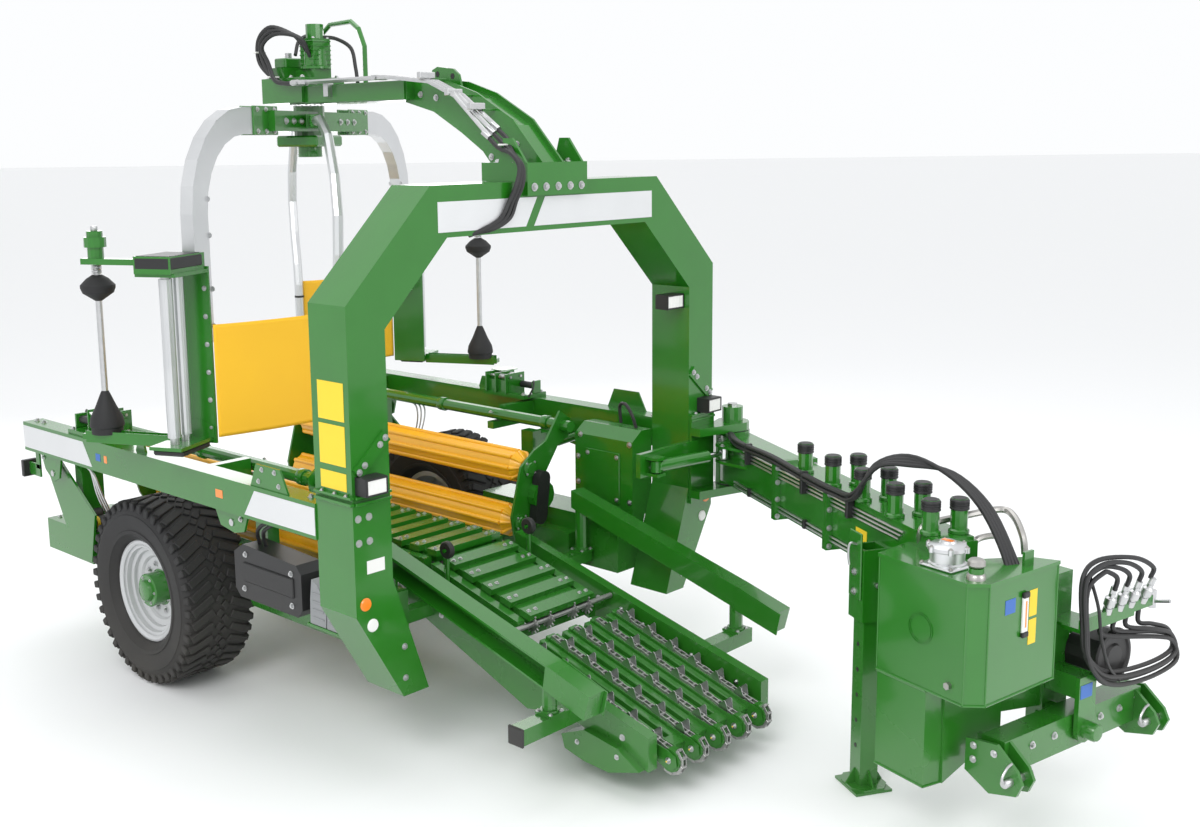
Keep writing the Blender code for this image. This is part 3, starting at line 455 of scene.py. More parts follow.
def addTube(form, points, radius, place=axlePlace, steps=6, fineness=2):
    # a hose or pipe along a smooth line
    curve = bpy.data.curves.new("tube", "CURVE")
    curve.dimensions, curve.bevel_depth, curve.bevel_resolution = "3D", radius, fineness
    curve.use_fill_caps = True
    line = softLine(points, steps) if steps else [Vector(point) for point in points]
    spline = curve.splines.new("POLY")
    spline.points.add(len(line) - 1)
    for point, spot in zip(spline.points, line):
        point.co = (*(place @ spot), 1)
    holder = bpy.data.objects.new("tube", curve)
    data = bpy.data.meshes.new_from_object(holder)
    form.from_mesh(data)
    bpy.data.objects.remove(holder, do_unlink=True)
    bpy.data.curves.remove(curve)
    bpy.data.meshes.remove(data)


def addSpring(form, start, end, radius, wire, turns, place=axlePlace):
    start, end = Vector(start), Vector(end)
    turn = (end - start).to_track_quat("Z", "Y")
    points = []
    for i in range(turns * 12 + 1):
        angle = 2 * pi * i / 12
        lift = (end - start).length * i / (turns * 12)
        points.append(start + turn @ Vector((radius * cos(angle), radius * sin(angle), lift)))
    addTube(form, points, wire, place, steps=0, fineness=1)


def addPiece(form, name, body, material, replaced=()):
    bmesh.ops.remove_doubles(form, verts=form.verts, dist=0.00002)
    bmesh.ops.recalc_face_normals(form, faces=form.faces)
    data = bpy.data.meshes.new(name)
    form.to_mesh(data)
    form.free()
    data.polygons.foreach_set("use_smooth", [True] * len(data.polygons))
    data.set_sharp_from_angle(angle=radians(32))
    data.materials.append(material)
    piece = bpy.data.objects.new(name, data)
    bpy.context.collection.objects.link(piece)
    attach(piece, body)
    if replaced:
        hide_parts(*replaced)


sides = (("right", -1), ("left", 1))


# ---- wheels ----
wheel = {"tread": 0.5025, "lug": 0.5125, "half": 0.21, "seat": 0.285, "lugs": 42, "slant": 26, "nuts": 10}


def wheelPlace(side, sign):
    return facing(jointAt("wheel_spin_" + side), (-sign, 0, 0), (0, 0, 1))


def makeTyre(side, sign):
    place = wheelPlace(side, sign)
    form = bmesh.new()
    half, tread, seat = wheel["half"], wheel["tread"], wheel["seat"]
    wall = [(seat, half - 0.056), (seat + 0.012, half - 0.036), (seat + 0.034, half - 0.020),
            (seat + 0.040, half - 0.010), (seat + 0.058, half - 0.007), (seat + 0.062, half - 0.012),
            (seat + 0.110, half - 0.004), (seat + 0.146, half - 0.002), (seat + 0.150, half - 0.007),
            (seat + 0.178, half - 0.014), (tread - 0.014, half - 0.032), (tread - 0.004, half - 0.062)]
    profile = wall + [(tread, 0.07), (tread, -0.07)] + [(radius, -height) for radius,
                                                        height in reversed(wall)]
    addTurned(form, profile, place, 96, closed=True)
    for i in range(wheel["lugs"]):
        for hand in (-1, 1):
            angle = 2 * pi * (i + 0.25 * hand) / wheel["lugs"]
            turned = place @ Matrix.Rotation(angle, 4, "Z")
            middle = turned @ Matrix.Translation((0, 0, 0.116 * hand))
            slanted = middle @ Matrix.Rotation(radians(wheel["slant"] * hand), 4, "X")
            addBox(form, (0.486, wheel["lug"]), (-0.0215, 0.0215), (-0.070, 0.070), slanted, 0.004)
            addBox(form, (0.452, 0.5015), (-0.050, -0.012), (0.168 * hand, 0.2025 * hand), turned, 0.005)
            wave = turned @ Matrix.Rotation(radians(-38 * hand), 4, "X")
            addBox(form, (0.488, wheel["lug"]), (-0.020, 0.020), (0.003 * hand, 0.038 * hand), wave, 0.003)
    addPiece(form, "tread_" + side, "wheel_" + side, rubber, ["tyre_" + side])


def makeWheelFace(side, sign):
    place = wheelPlace(side, sign)
    form = bmesh.new()
    seat = wheel["seat"]
    front = [(seat - 0.031, 0.140), (0.238, 0.137), (0.234, 0.112), (0.214, 0.107), (0.210, 0.088),
             (0.180, 0.083),
             (0.168, 0.068), (0.088, 0.064)]
    addTurned(form, front + [(radius, height - 0.009) for radius, height in reversed(front)], place,
              closed=True)
    addTurned(form, [(seat - 0.001, 0.1505), (seat - 0.004, 0.159), (seat - 0.014, 0.162),
                     (seat - 0.024, 0.159),
                     (seat - 0.032, 0.1505)], place, closed=True)
    addPiece(form, "rimFace_" + side, "wheel_" + side, rimPaint)
    hub = bmesh.new()
    addTurned(hub, [(0, 0.174), (0.046, 0.174), (0.054, 0.170), (0.060, 0.158), (0.062, 0.1515),
                    (0.086, 0.1515),
                    (0.092, 0.146), (0.092, 0.066), (0.104, 0.0645), (0.104, 0.060), (0, 0.060)], place)
    addPiece(hub, "hubCap_" + side, "wheel_" + side, greenPaint)
    nuts = bmesh.new()
    for i in range(wheel["nuts"]):
        angle = 2 * pi * i / wheel["nuts"]
        addBolt(nuts, (0.132 * cos(angle), 0.132 * sin(angle), 0.0655), (0, 0, 1), 0.014, place)
    for i in range(6):
        angle = 2 * pi * i / 6
        addBolt(nuts, (0.074 * cos(angle), 0.074 * sin(angle), 0.1515), (0, 0, 1), 0.006, place)
    addTube(nuts, [(0.245, 0, 0.125), (0.236, 0, 0.150), (0.232, 0, 0.166)], 0.005, place)
    addPiece(nuts, "wheelNuts_" + side, "wheel_" + side, zinc)


for side, sign in sides:
    makeTyre(side, sign)
    makeWheelFace(side, sign)
print("wheels made")


# ---- yellow rollers ----
roller = {"radius": 0.086, "rib": 0.014, "ribs": 8, "taper": 0.07, "end": 0.045}


def makeYellowRoller(level, side):
    node = f"yellow_roller_{level}_{side}"
    low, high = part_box(node)
    spin = jointAt(f"yellow_roller_{level}_spin_{side}")
    place = facing((low.x, spin.y, spin.z), (0, 1, 0), (0, 0, 1))
    long, body, taper = high.x - low.x, roller["radius"], roller["taper"]
    form = bmesh.new()
    addTurned(form, [(0, 0), (0.03, 0), (0.03, 0.02), (roller["end"], 0.02), (body, taper),
                     (body, long - taper),
                     (roller["end"], long - 0.02), (0.03, long - 0.02), (0.03, long), (0, long)], place, 40)
    for i in range(roller["ribs"]):
        angle = 2 * pi * i / roller["ribs"]
        y, z = body * cos(angle), body * sin(angle)
        near, far = roller["end"] / body, roller["rib"]
        addRod(form, (y, z, taper), (y, z, long - taper), far, place, 10)
        addRod(form, (y, z, taper), (y * near, z * near, 0.024), far, place, 10, far * 0.5)
        addRod(form, (y, z, long - taper), (y * near, z * near, long - 0.024), far, place, 10, far * 0.5)
    addPiece(form, "ribbedRoller_" + node[14:], node, yellowPaint, [node])


for side, sign in sides:
    for level in ("upper", "lower"):
        makeYellowRoller(level, side)
print("yellow rollers made")


# ---- slats, chains and ramp ----
slats = {"pitch": 0.142, "count": 16, "bolts": (0.165, 0.212), "top": 0.788, "from": 1.28}
ramp = {"start": (2.06, 0, 0.47), "end": (2.987, 0, 0.19), "pitch": 0.165, "runs": 5, "link": 0.038,
        "cleat": 0.15}


def makeSlatBolts():
    fixed, moving = bmesh.new(), bmesh.new()
    fall = atan2(0.575 - 0.76, 1.97 - slats["from"])
    slope = axlePlace @ Matrix.Translation((slats["from"], 0, 0.76)) @ Matrix.Rotation(-fall, 4, "Y")
    for y in slats["bolts"]:
        for hand in (-1, 1):
            for i in range(slats["count"]):
                addBolt(fixed, (slats["from"] - i * slats["pitch"], y * hand, slats["top"]), (0, 0, 1),
                        0.0085)
            for i in range(1, 6):
                addBolt(moving, (i * slats["pitch"], y * hand, 0.028), (0, 0, 1), 0.0085, slope)
    addPiece(fixed, "slatBolts", "chassis", zinc)
    addPiece(moving, "rampSlatBolts", "loading_ramp", zinc)


def makeChains():
    start, end = Vector(ramp["start"]), Vector(ramp["end"])
    long = (end - start).length
    place = axlePlace @ Matrix.Translation(start) @ Matrix.Rotation(-atan2(end.z - start.z,
                                                                           end.x - start.x), 4, "Y")
    links, cleats, noses, grease = (bmesh.new() for _ in range(4))
    for run in range(ramp["runs"]):
        y = (run - (ramp["runs"] - 1) / 2) * ramp["pitch"]
        across = Matrix.Translation((0, y, 0))
        spots = [place @ across @ Matrix.Translation((0.05 + i * ramp["link"], 0, 0.030))
                 for i in range(int((long - 0.05) / ramp["link"]) + 1)]
        for i in range(1, 6):  # round the nose
            turn = Matrix.Translation((long, 0, -0.01)) @ Matrix.Rotation(i * ramp["link"] / 0.061, 4, "Y")
            spots.append(place @ across @ turn @ Matrix.Translation((0, 0, 0.061)))
        for i, spot in enumerate(spots):
            wide = 0.013 if i % 2 else 0.0095
            for hand in (-1, 1):
                addBox(links, (-0.024, 0.024), (wide * hand, (wide + 0.003) * hand), (-0.008, 0.008), spot,
                       0.002)
            addRod(links, (-0.019, -0.009, 0), (-0.019, 0.009, 0), 0.0075, spot, 8)
        for i in range(int(long / ramp["cleat"]) + 1):
            spot = place @ across @ Matrix.Translation((0.09 + i * ramp["cleat"] + 0.03 * (run % 2), 0,
                                                        0.022))
            if (0.09 + i * ramp["cleat"] + 0.03 * (run % 2)) > long:
                continue
            for hand in (-1, 1):  # a pair of pointed plates that lean apart
                lean = spot @ Matrix.Translation((0, 0.017 * hand, 0)) @ Matrix.Rotation(radians(-9 * hand),
                                                                                         4, "X")
                tooth = lean @ facing((0, 0.0015, 0), (1, 0, 0), (0, 0, 1))
                addPlate(cleats, [(-0.024, 0), (0.040, 0), (0.036, 0.016), (0.014, 0.054), (0.004, 0.056),
                                  (-0.018, 0.022)], tooth, 0.0035)
        for hand in (-1, 1):
            addPlate(noses, [(-0.16, -0.034), (-0.02, -0.052), (0.026, -0.046), (0.048, -0.010),
                             (0.030, 0.030),
                             (-0.02, 0.036), (-0.16, 0.022)],
                     place @ across @ facing((long, 0.0275 * hand, 0), (1, 0, 0), (0, 0, 1)), 0.003 * -hand)
            addBolt(cleats, (long - 0.002, 0.030 * hand, -0.008), (0, hand, 0), 0.011, place @ across)
            addRod(grease, (long - 0.002, 0.038 * hand, -0.008), (long - 0.002, 0.047 * hand, -0.008),
                   0.005,
                   place @ across, 8, 0.003)
            addBolt(cleats, (long - 0.11, 0.030 * hand, -0.008), (0, hand, 0), 0.007, place @ across)
        addBox(noses, (0.005, 0.03), (-0.03, 0.03), (-0.02, 0.028), place @ across, 0.003)
        if run:  # the bars that the bale slides on, between the chains
            for low, high in ((-0.066, -0.026), (-ramp["pitch"] + 0.026, -ramp["pitch"] + 0.066)):
                addBox(noses, (0.0, long - 0.10), (low, high), (-0.024, 0.012), place @ across, 0.004)
            addBox(noses, (long - 0.11, long - 0.055), (-ramp["pitch"] + 0.026, -0.026), (-0.024, 0.011),
                   place @ across,
                   0.003)
            addBox(noses, (long - 0.06, long - 0.045), (-ramp["pitch"] + 0.026, -0.026), (-0.070, 0.010),
                   place @ across,
                   0.003)
    addPiece(links, "chainLinks", "loading_ramp", chainSteel)
    addPiece(cleats, "chainCleats", "loading_ramp", zinc)
    addPiece(noses, "chainNoses", "loading_ramp", greenPaint)
    addPiece(grease, "greasePoints", "loading_ramp", yellowLabel)


chainSteel = finish("chainSteel", (0.36, 0.36, 0.36), (0.50, 0.50, 0.49), 0.34, metallic=0.9, dirt=0.1,
                    grain=200)
makeSlatBolts()
makeChains()
print("slats and chains made")


# ---- blank decals, plates and lamps ----
decal = {"thick": 0.0012, "proud": 0.0003}


def makeDecals():
    form = bmesh.new()
    for side, sign in sides:
        low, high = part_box("side_beam_" + side)
        face = high.y if sign > 0 else low.y
        place = sideFace(face + sign * decal["proud"])
        rear, front = low.x, high.x
        z0, z1 = low.z + 0.018, low.z + 0.148
        for outline in ([(rear + 0.004, z0), (rear + 0.80, z0), (rear + 0.71, z1), (rear + 0.004, z1)],
                        [(front - 0.56, z0), (front - 0.004, z0), (front - 0.004, z1), (front - 0.47, z1)]):
            addPlate(form, outline, place, -sign * decal["thick"])
    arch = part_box("arch_frame")[1]
    place = frontFace(arch.x + decal["proud"])
    for outline in ([(-0.75, 2.515), (-0.190, 2.515), (-0.112, 2.652), (-0.75, 2.652)],
                    [(-0.135, 2.515), (0.75, 2.515), (0.75, 2.652), (-0.057, 2.652)]):
        addPlate(form, outline, place, decal["thick"])
    addPiece(form, "silverDecals", "chassis", silver)


def makeTailLamps():
    for side, sign in sides:
        low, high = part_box("tail_lamp_" + side)
        bracket, housing, lens, turnLens = (bmesh.new() for _ in range(4))
        y0, y1 = (low.y, high.y)
        z0, z1 = low.z, low.z + 0.10
        addBox(housing, (low.x + 0.004, low.x + 0.034), (y0, y1), (z0, z1), still, 0.004)
        split = y1 - 0.03 if sign > 0 else y0 + 0.03
        inner = y0 if sign > 0 else y1
        outer = y1 if sign > 0 else y0
        addBox(lens, (low.x, low.x + 0.008), (inner + 0.003 * sign, split), (z0 + 0.004, z1 - 0.004), still,
               0.003)
        addBox(turnLens, (low.x, low.x + 0.008), (split, outer - 0.003 * sign), (z0 + 0.004, z1 - 0.004),
               still, 0.003)
        middle = (y0 + y1) / 2
        addBox(bracket, (low.x + 0.030, high.x), (middle - 0.006, middle + 0.006), (z0 + 0.012, z0 + 0.088),
               still, 0.002)
        addBox(bracket, (high.x - 0.045, high.x), (middle - 0.006, middle + 0.006), (z0 + 0.06, high.z),
               still, 0.002)
        addPiece(bracket, "lampBracket_" + side, "chassis", greenPaint, ["tail_lamp_" + side])
        addPiece(housing, "lampHousing_" + side, "chassis", blackPlastic)
        addPiece(lens, "tailLens_" + side, "chassis", redLens)
        addPiece(turnLens, "turnLens_" + side, "chassis", amber)


def makeHeadLamps():
    glass, rings = bmesh.new(), bmesh.new()
    for name in ("headlamp_right", "headlamp_left", "work_lamp"):
        low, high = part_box(name)
        y, z = (low.y + high.y) / 2, (low.z + high.z) / 2
        wide, tall = (high.y - low.y) / 2 - 0.008, (high.z - low.z) / 2 - 0.008
        place = frontFace(high.x) @ Matrix.Translation((y, z, 0))
        addBox(glass, (-wide, wide), (-tall, tall), (-0.002, 0.004), place, 0.002)
        for i in range(5):
            across = -wide + (i + 0.5) * wide * 0.4
            addBox(glass, (across - 0.002, across + 0.002), (-tall * 0.9, tall * 0.9), (0.003, 0.0052),
                   place)
        for a, b, c, d in ((-wide - 0.007, wide + 0.007, tall, tall + 0.007),
                           (-wide - 0.007, wide + 0.007, -tall - 0.007, -tall),
                           (wide, wide + 0.007, -tall, tall), (-wide - 0.007, -wide, -tall, tall)):
            addBox(rings, (a, b), (c, d), (-0.004, 0.007), place, 0.0015)
    addPiece(glass, "lampGlass", "chassis", whitePlastic)
    addPiece(rings, "lampRims", "chassis", blackPlastic)


makeDecals()
makeTailLamps()
makeHeadLamps()
print("decals and lamps made")


# ---- rotor: masts, dispensers and arms ----
mast = {"at": (1.375, -0.50), "wall": 1.3204}


def rotorPlace(angle, side):
    turn = angle + (pi if side == "left" else 0)
    return Matrix.Translation(rotorAt) @ Matrix.Rotation(turn, 4, "Z")


def makeDispenser(side):
    place = rotorPlace(armTurn, side)
    x, y = mast["at"]
    cones, metal, plates, black = (bmesh.new() for _ in range(4))
    mastPlace = place @ Matrix.Translation((x, y, 0))
    addTurned(cones, [(0.017, 1.69), (0.026, 1.672), (0.052, 1.61), (0.080, 1.555), (0.086, 1.52),
                      (0.086, 1.508),
                      (0.079, 1.500), (0.078, 1.4705), (0.017, 1.4705)], mastPlace, 32, closed=True)
    addTurned(cones, [(0.017, 2.15), (0.076, 2.19), (0.086, 2.215), (0.086, 2.230), (0.055, 2.262),
                      (0.026, 2.280),
                      (0.017, 2.28)], mastPlace, 32, closed=True)
    addPiece(cones, "mastCones_" + side, "rotor", rubber)
    addSpring(metal, (0, 0, 2.283), (0, 0, 2.332), 0.024, 0.0035, 5, mastPlace)
    addRod(metal, (0, 0, 1.66), (0, 0, 2.334), 0.0165, mastPlace)
    addRod(metal, (0, 0, 2.50), (0, 0, 2.525), 0.018, mastPlace, cut=0.003)
    wall = mast["wall"]
    for z in (1.52, 1.66, 1.80, 1.94, 2.08, 2.22):
        for across in (-0.085, 0.085):
            addBolt(metal, (wall + 0.012, across, z), (1, 0, 0), 0.009, place)
    for z in (1.56, 1.75, 2.02, 2.20):
        for across in (-0.035, 0.035):
            addBolt(metal, (wall - 0.0005 - 0.14, across, z + 0.45), (-1, 0, 0), 0.010, place)
    for r in (1.435, 1.535):
        for z0, z1 in ((1.4735, 1.5055), (2.2855, 2.2995)):
            addRod(metal, (r, 0, z0), (r, 0, z1), 0.022, place)
    addPiece(metal, "dispenserMetal_" + side, "rotor", zinc)
    addBox(black, (wall + 0.036, 1.641), (-0.103, 0.103), (2.330, 2.402), place, 0.012)
    addBox(black, (wall + 0.030, 1.60), (-0.085, 0.085), (1.425, 1.4545), place, 0.008)
    addPiece(black, "dispenserCovers_" + side, "rotor", blackPlastic)
    addPlate(plates, [(-0.10, 1.47), (0.10, 1.47), (0.10, 1.53), (0.03, 1.56), (-0.03, 1.56),
                      (-0.10, 1.53)],
             place @ facing((wall + 0.0125, 0, 0), (0, 1, 0), (0, 0, 1)), 0.004)
    addBox(plates, (wall + 0.048, wall + 0.052), (-0.60, -0.10), (1.425, 1.485), place, 0.001)
    addBox(plates, (wall + 0.098, wall + 0.102), (-0.60, -0.10), (1.425, 1.485), place, 0.001)
    addPiece(plates, "dispenserPlates_" + side, "rotor", greenPaint)


def makeArmFittings():
    green, bolts, caps = bmesh.new(), bmesh.new(), bmesh.new()
    for side, sign in sides:
        place, thin = rotorPlace(armTurn, side), rotorPlace(tubeTurn, side)
        for across in (-0.036, 0.036):  # clamp plates that hold the arm
            addBox(green, (0.44, 0.70), (across - 0.006, across + 0.006), (2.965, 3.118), place, 0.003)
        for r in (0.48, 0.57, 0.66):
            for z in (2.985, 3.10):
                for hand in (-1, 1):
                    addBolt(bolts, (r, 0.0425 * hand, z), (0, hand, 0), 0.010, place)
        for r in (0.24, 0.33, 0.42):
            for hand in (-1, 1):
                addBolt(bolts, (r, 0.08 * hand, 3.04), (0, hand, 0), 0.013, place)
        addBox(green, (0.205, 0.30), (-0.034, 0.034), (3.006, 3.074), thin, 0.004)
        addRod(caps, (0.81, 0, 1.455), (0.81, 0, 1.475), 0.031, thin, cut=0.003)
        for z in (1.52, 1.66, 1.80, 1.94):
            addRod(caps, (0.812 + 0.005 * (z - 1.52), 0, z), (0.812 + 0.005 * (z - 1.52), 0, z + 0.012),
                   0.0305, thin)
    addBox(green, (-0.16, 0.16), (-0.13, 0.13), (2.90, 2.962), rotorPlace(armTurn, "right"), 0.01)
    addRod(green, (0, 0, 2.84), (0, 0, 2.93), 0.07, rotorPlace(armTurn, "right"), 24, cut=0.006)
    for i in range(10):
        angle = 2 * pi * i / 10
        addBolt(bolts, (0.078 * cos(angle), 0.078 * sin(angle), 3.1225), (0, 0, 1), 0.0085,
                rotorPlace(armTurn, "right"))
    addPiece(green, "armClamps", "rotor", greenPaint)
    addPiece(bolts, "armBolts", "rotor", zinc)
    addPiece(caps, "tubeCaps", "rotor", blackPlastic)


for side, sign in sides:
    makeDispenser(side)
makeArmFittings()
print("rotor fittings made")


# ---- boom and rotor head ----
def makeBoomFittings():
    green, bolts, hoses, bands, steel = (bmesh.new() for _ in range(5))
    for y in (-0.16, -0.08, 0.005, 0.09, 0.17):
        addBolt(bolts, (2.004, y, 2.70), (1, 0, 0), 0.014)
    for x in (1.78, 1.90):
        for y in (-0.18, 0.19):
            addBolt(bolts, (x, y, 2.815), (0, 0, 1), 0.014)
    for x, z in ((1.62, 2.84), (1.72, 2.84), (1.80, 2.90), (1.10, 3.16), (1.22, 3.14)):
        for y, hand in ((-0.066, -1), (0.086, 1)):
            addBolt(bolts, (x, y, z), (0, hand, 0), 0.012)
    lug = [(1.10, 3.215), (1.34, 3.19), (1.32, 3.255), (1.28, 3.285), (1.16, 3.300), (1.12, 3.285)]
    addPlate(green, lug, axlePlace @ sideFace(0.014), 0.014)
    for x, z in ((1.16, 3.262), (1.275, 3.248)):
        for y, hand in ((0.0138, 1), (-0.0002, -1)):
            addRod(hoses, (x, y, z), (x, y + 0.0008 * hand, z), 0.015)
    for y in (-0.129, 0.099):  # stiffening strips along the boom's box
        addBox(green, (0.06, 1.04), (y, y + 0.008), (3.138, 3.232), cut=0.002)
    for x in (-0.16, -0.055, 0.055, 0.16):
        for y in (-0.12, 0.12):
            addBolt(bolts, (x, y, 3.285), (0, 0, 1), 0.012)
    for x in (0.08, 0.18):
        for y in (-0.05, 0.05):
            addBolt(bolts, (x, y, 3.50), (0, 0, 1), 0.008)
    addTurned(green, [(0.088, 3.333), (0.088, 3.345), (0.072, 3.352), (0.066, 3.40), (0.066, 3.44),
                      (0.0, 3.44)],
              axlePlace @ Matrix.Translation((0.13, 0, 0)), 28)
    for z in (3.36, 3.385, 3.41, 3.435, 3.46, 3.485):
        addBox(green, (0.066, 0.194), (-0.064, 0.064), (z - 0.004, z + 0.004), cut=0.002)
    addBox(green, (-0.13, -0.02), (-0.10, 0.015), (3.344, 3.40), cut=0.006)
    addRod(steel, (-0.075, -0.04, 3.40), (-0.075, -0.04, 3.43), 0.022, sides=6)
    for i, y in enumerate((-0.155, -0.185, -0.215)):  # hoses from the motor to the pipes
        addTube(hoses, [(0.10 + 0.03 * i, -0.06, 3.46 - 0.03 * i),
                        (0.09 + 0.03 * i, -0.12, 3.52 - 0.01 * i),
                        (-0.02 + 0.02 * i, -0.19, 3.565 - 0.02 * i), (-0.13 + 0.03 * i, -0.20 - 0.01 * i,
                                                                      3.50 - 0.02 * i),
                        (-0.14 + 0.04 * i, -0.19, 3.37), (-0.03 + 0.03 * i, y, 3.27), (0.12, y, 3.25),
                        (0.21, y, 3.25)], 0.012)
        addRod(steel, (0.19, y, 3.25), (0.25, y, 3.25), 0.016, sides=6)
        addRod(steel, (1.72, y, 3.0 - 0.02 * i), (1.765, y, 2.972 - 0.02 * i), 0.016, sides=6)
        addTube(hoses, [(1.755, y, 2.975 - 0.02 * i), (1.83, y - 0.006, 2.925 - 0.02 * i),
                        (1.93, -0.225 - 0.008 * i, 2.86),
                        (2.000, -0.235 - 0.010 * i, 2.80), (2.016, -0.25 - 0.020 * i, 2.72),
                        (1.995, -0.275 - 0.022 * i, 2.64),
                        (1.985, -0.31 - 0.03 * i, 2.56), (1.982, -0.42 - 0.03 * i, 2.515),
                        (1.96, -0.55, 2.500 - 0.004 * i)], 0.011)
    addTube(hoses, [(-0.06, 0.0, 3.42), (-0.09, 0.05, 3.50), (-0.06, 0.10, 3.535), (0.05, 0.115, 3.52),
                    (0.20, 0.10, 3.50),
                    (0.34, 0.09, 3.44), (0.40, 0.07, 3.33), (0.44, 0.05, 3.245)], 0.011)
    for x, y, z in ((-0.125, -0.2, 3.43), (-0.02, -0.19, 3.29), (1.86, -0.21, 2.90)):
        addBox(bands, (x - 0.012, x + 0.012), (y - 0.035, y + 0.035), (z - 0.004, z + 0.004), cut=0.001)
    for x in (1.28, 1.48, 1.64):
        z = 3.225 - (x - 1.33) * 0.45
        addBox(steel, (x - 0.015, x + 0.015), (-0.235, -0.135), (z - 0.016, z + 0.016), cut=0.003)
        addBox(green, (x - 0.012, x + 0.012), (-0.15, -0.06), (z - 0.020, z - 0.012), cut=0.001)
    for x in (-0.02, 0.51):
        addBox(green, (x - 0.03, x + 0.03), ((0.09, 0.15) if x < 0 else (0.02, 0.08)),
               ((3.2852, 3.291) if x < 0 else (3.2352, 3.241)))
    addPiece(green, "boomParts", "chassis", greenPaint)
    addPiece(bolts, "boomBolts", "chassis", zinc)
    addPiece(hoses, "boomHoses", "chassis", hoseRubber)
    addPiece(bands, "hoseTies", "chassis", whitePlastic)
    addPiece(steel, "pipeFittings", "chassis", zinc)


makeBoomFittings()
print("boom fittings made")


# ---- drawbar, tank and hitch ----
tank = {"top": 1.20, "step": 0.70,
        "head": [(-0.447, -0.687), (0.024, -0.726), (0.081, -0.660), (0.064, -0.195), (-0.045, -0.252)],
        "bar": [(2.33, -0.0904), (2.05, -0.0904)],
        "lower": [(-0.445, -0.684), (-0.170, -0.707), (-0.158, -0.610), (-0.430, -0.493)]}


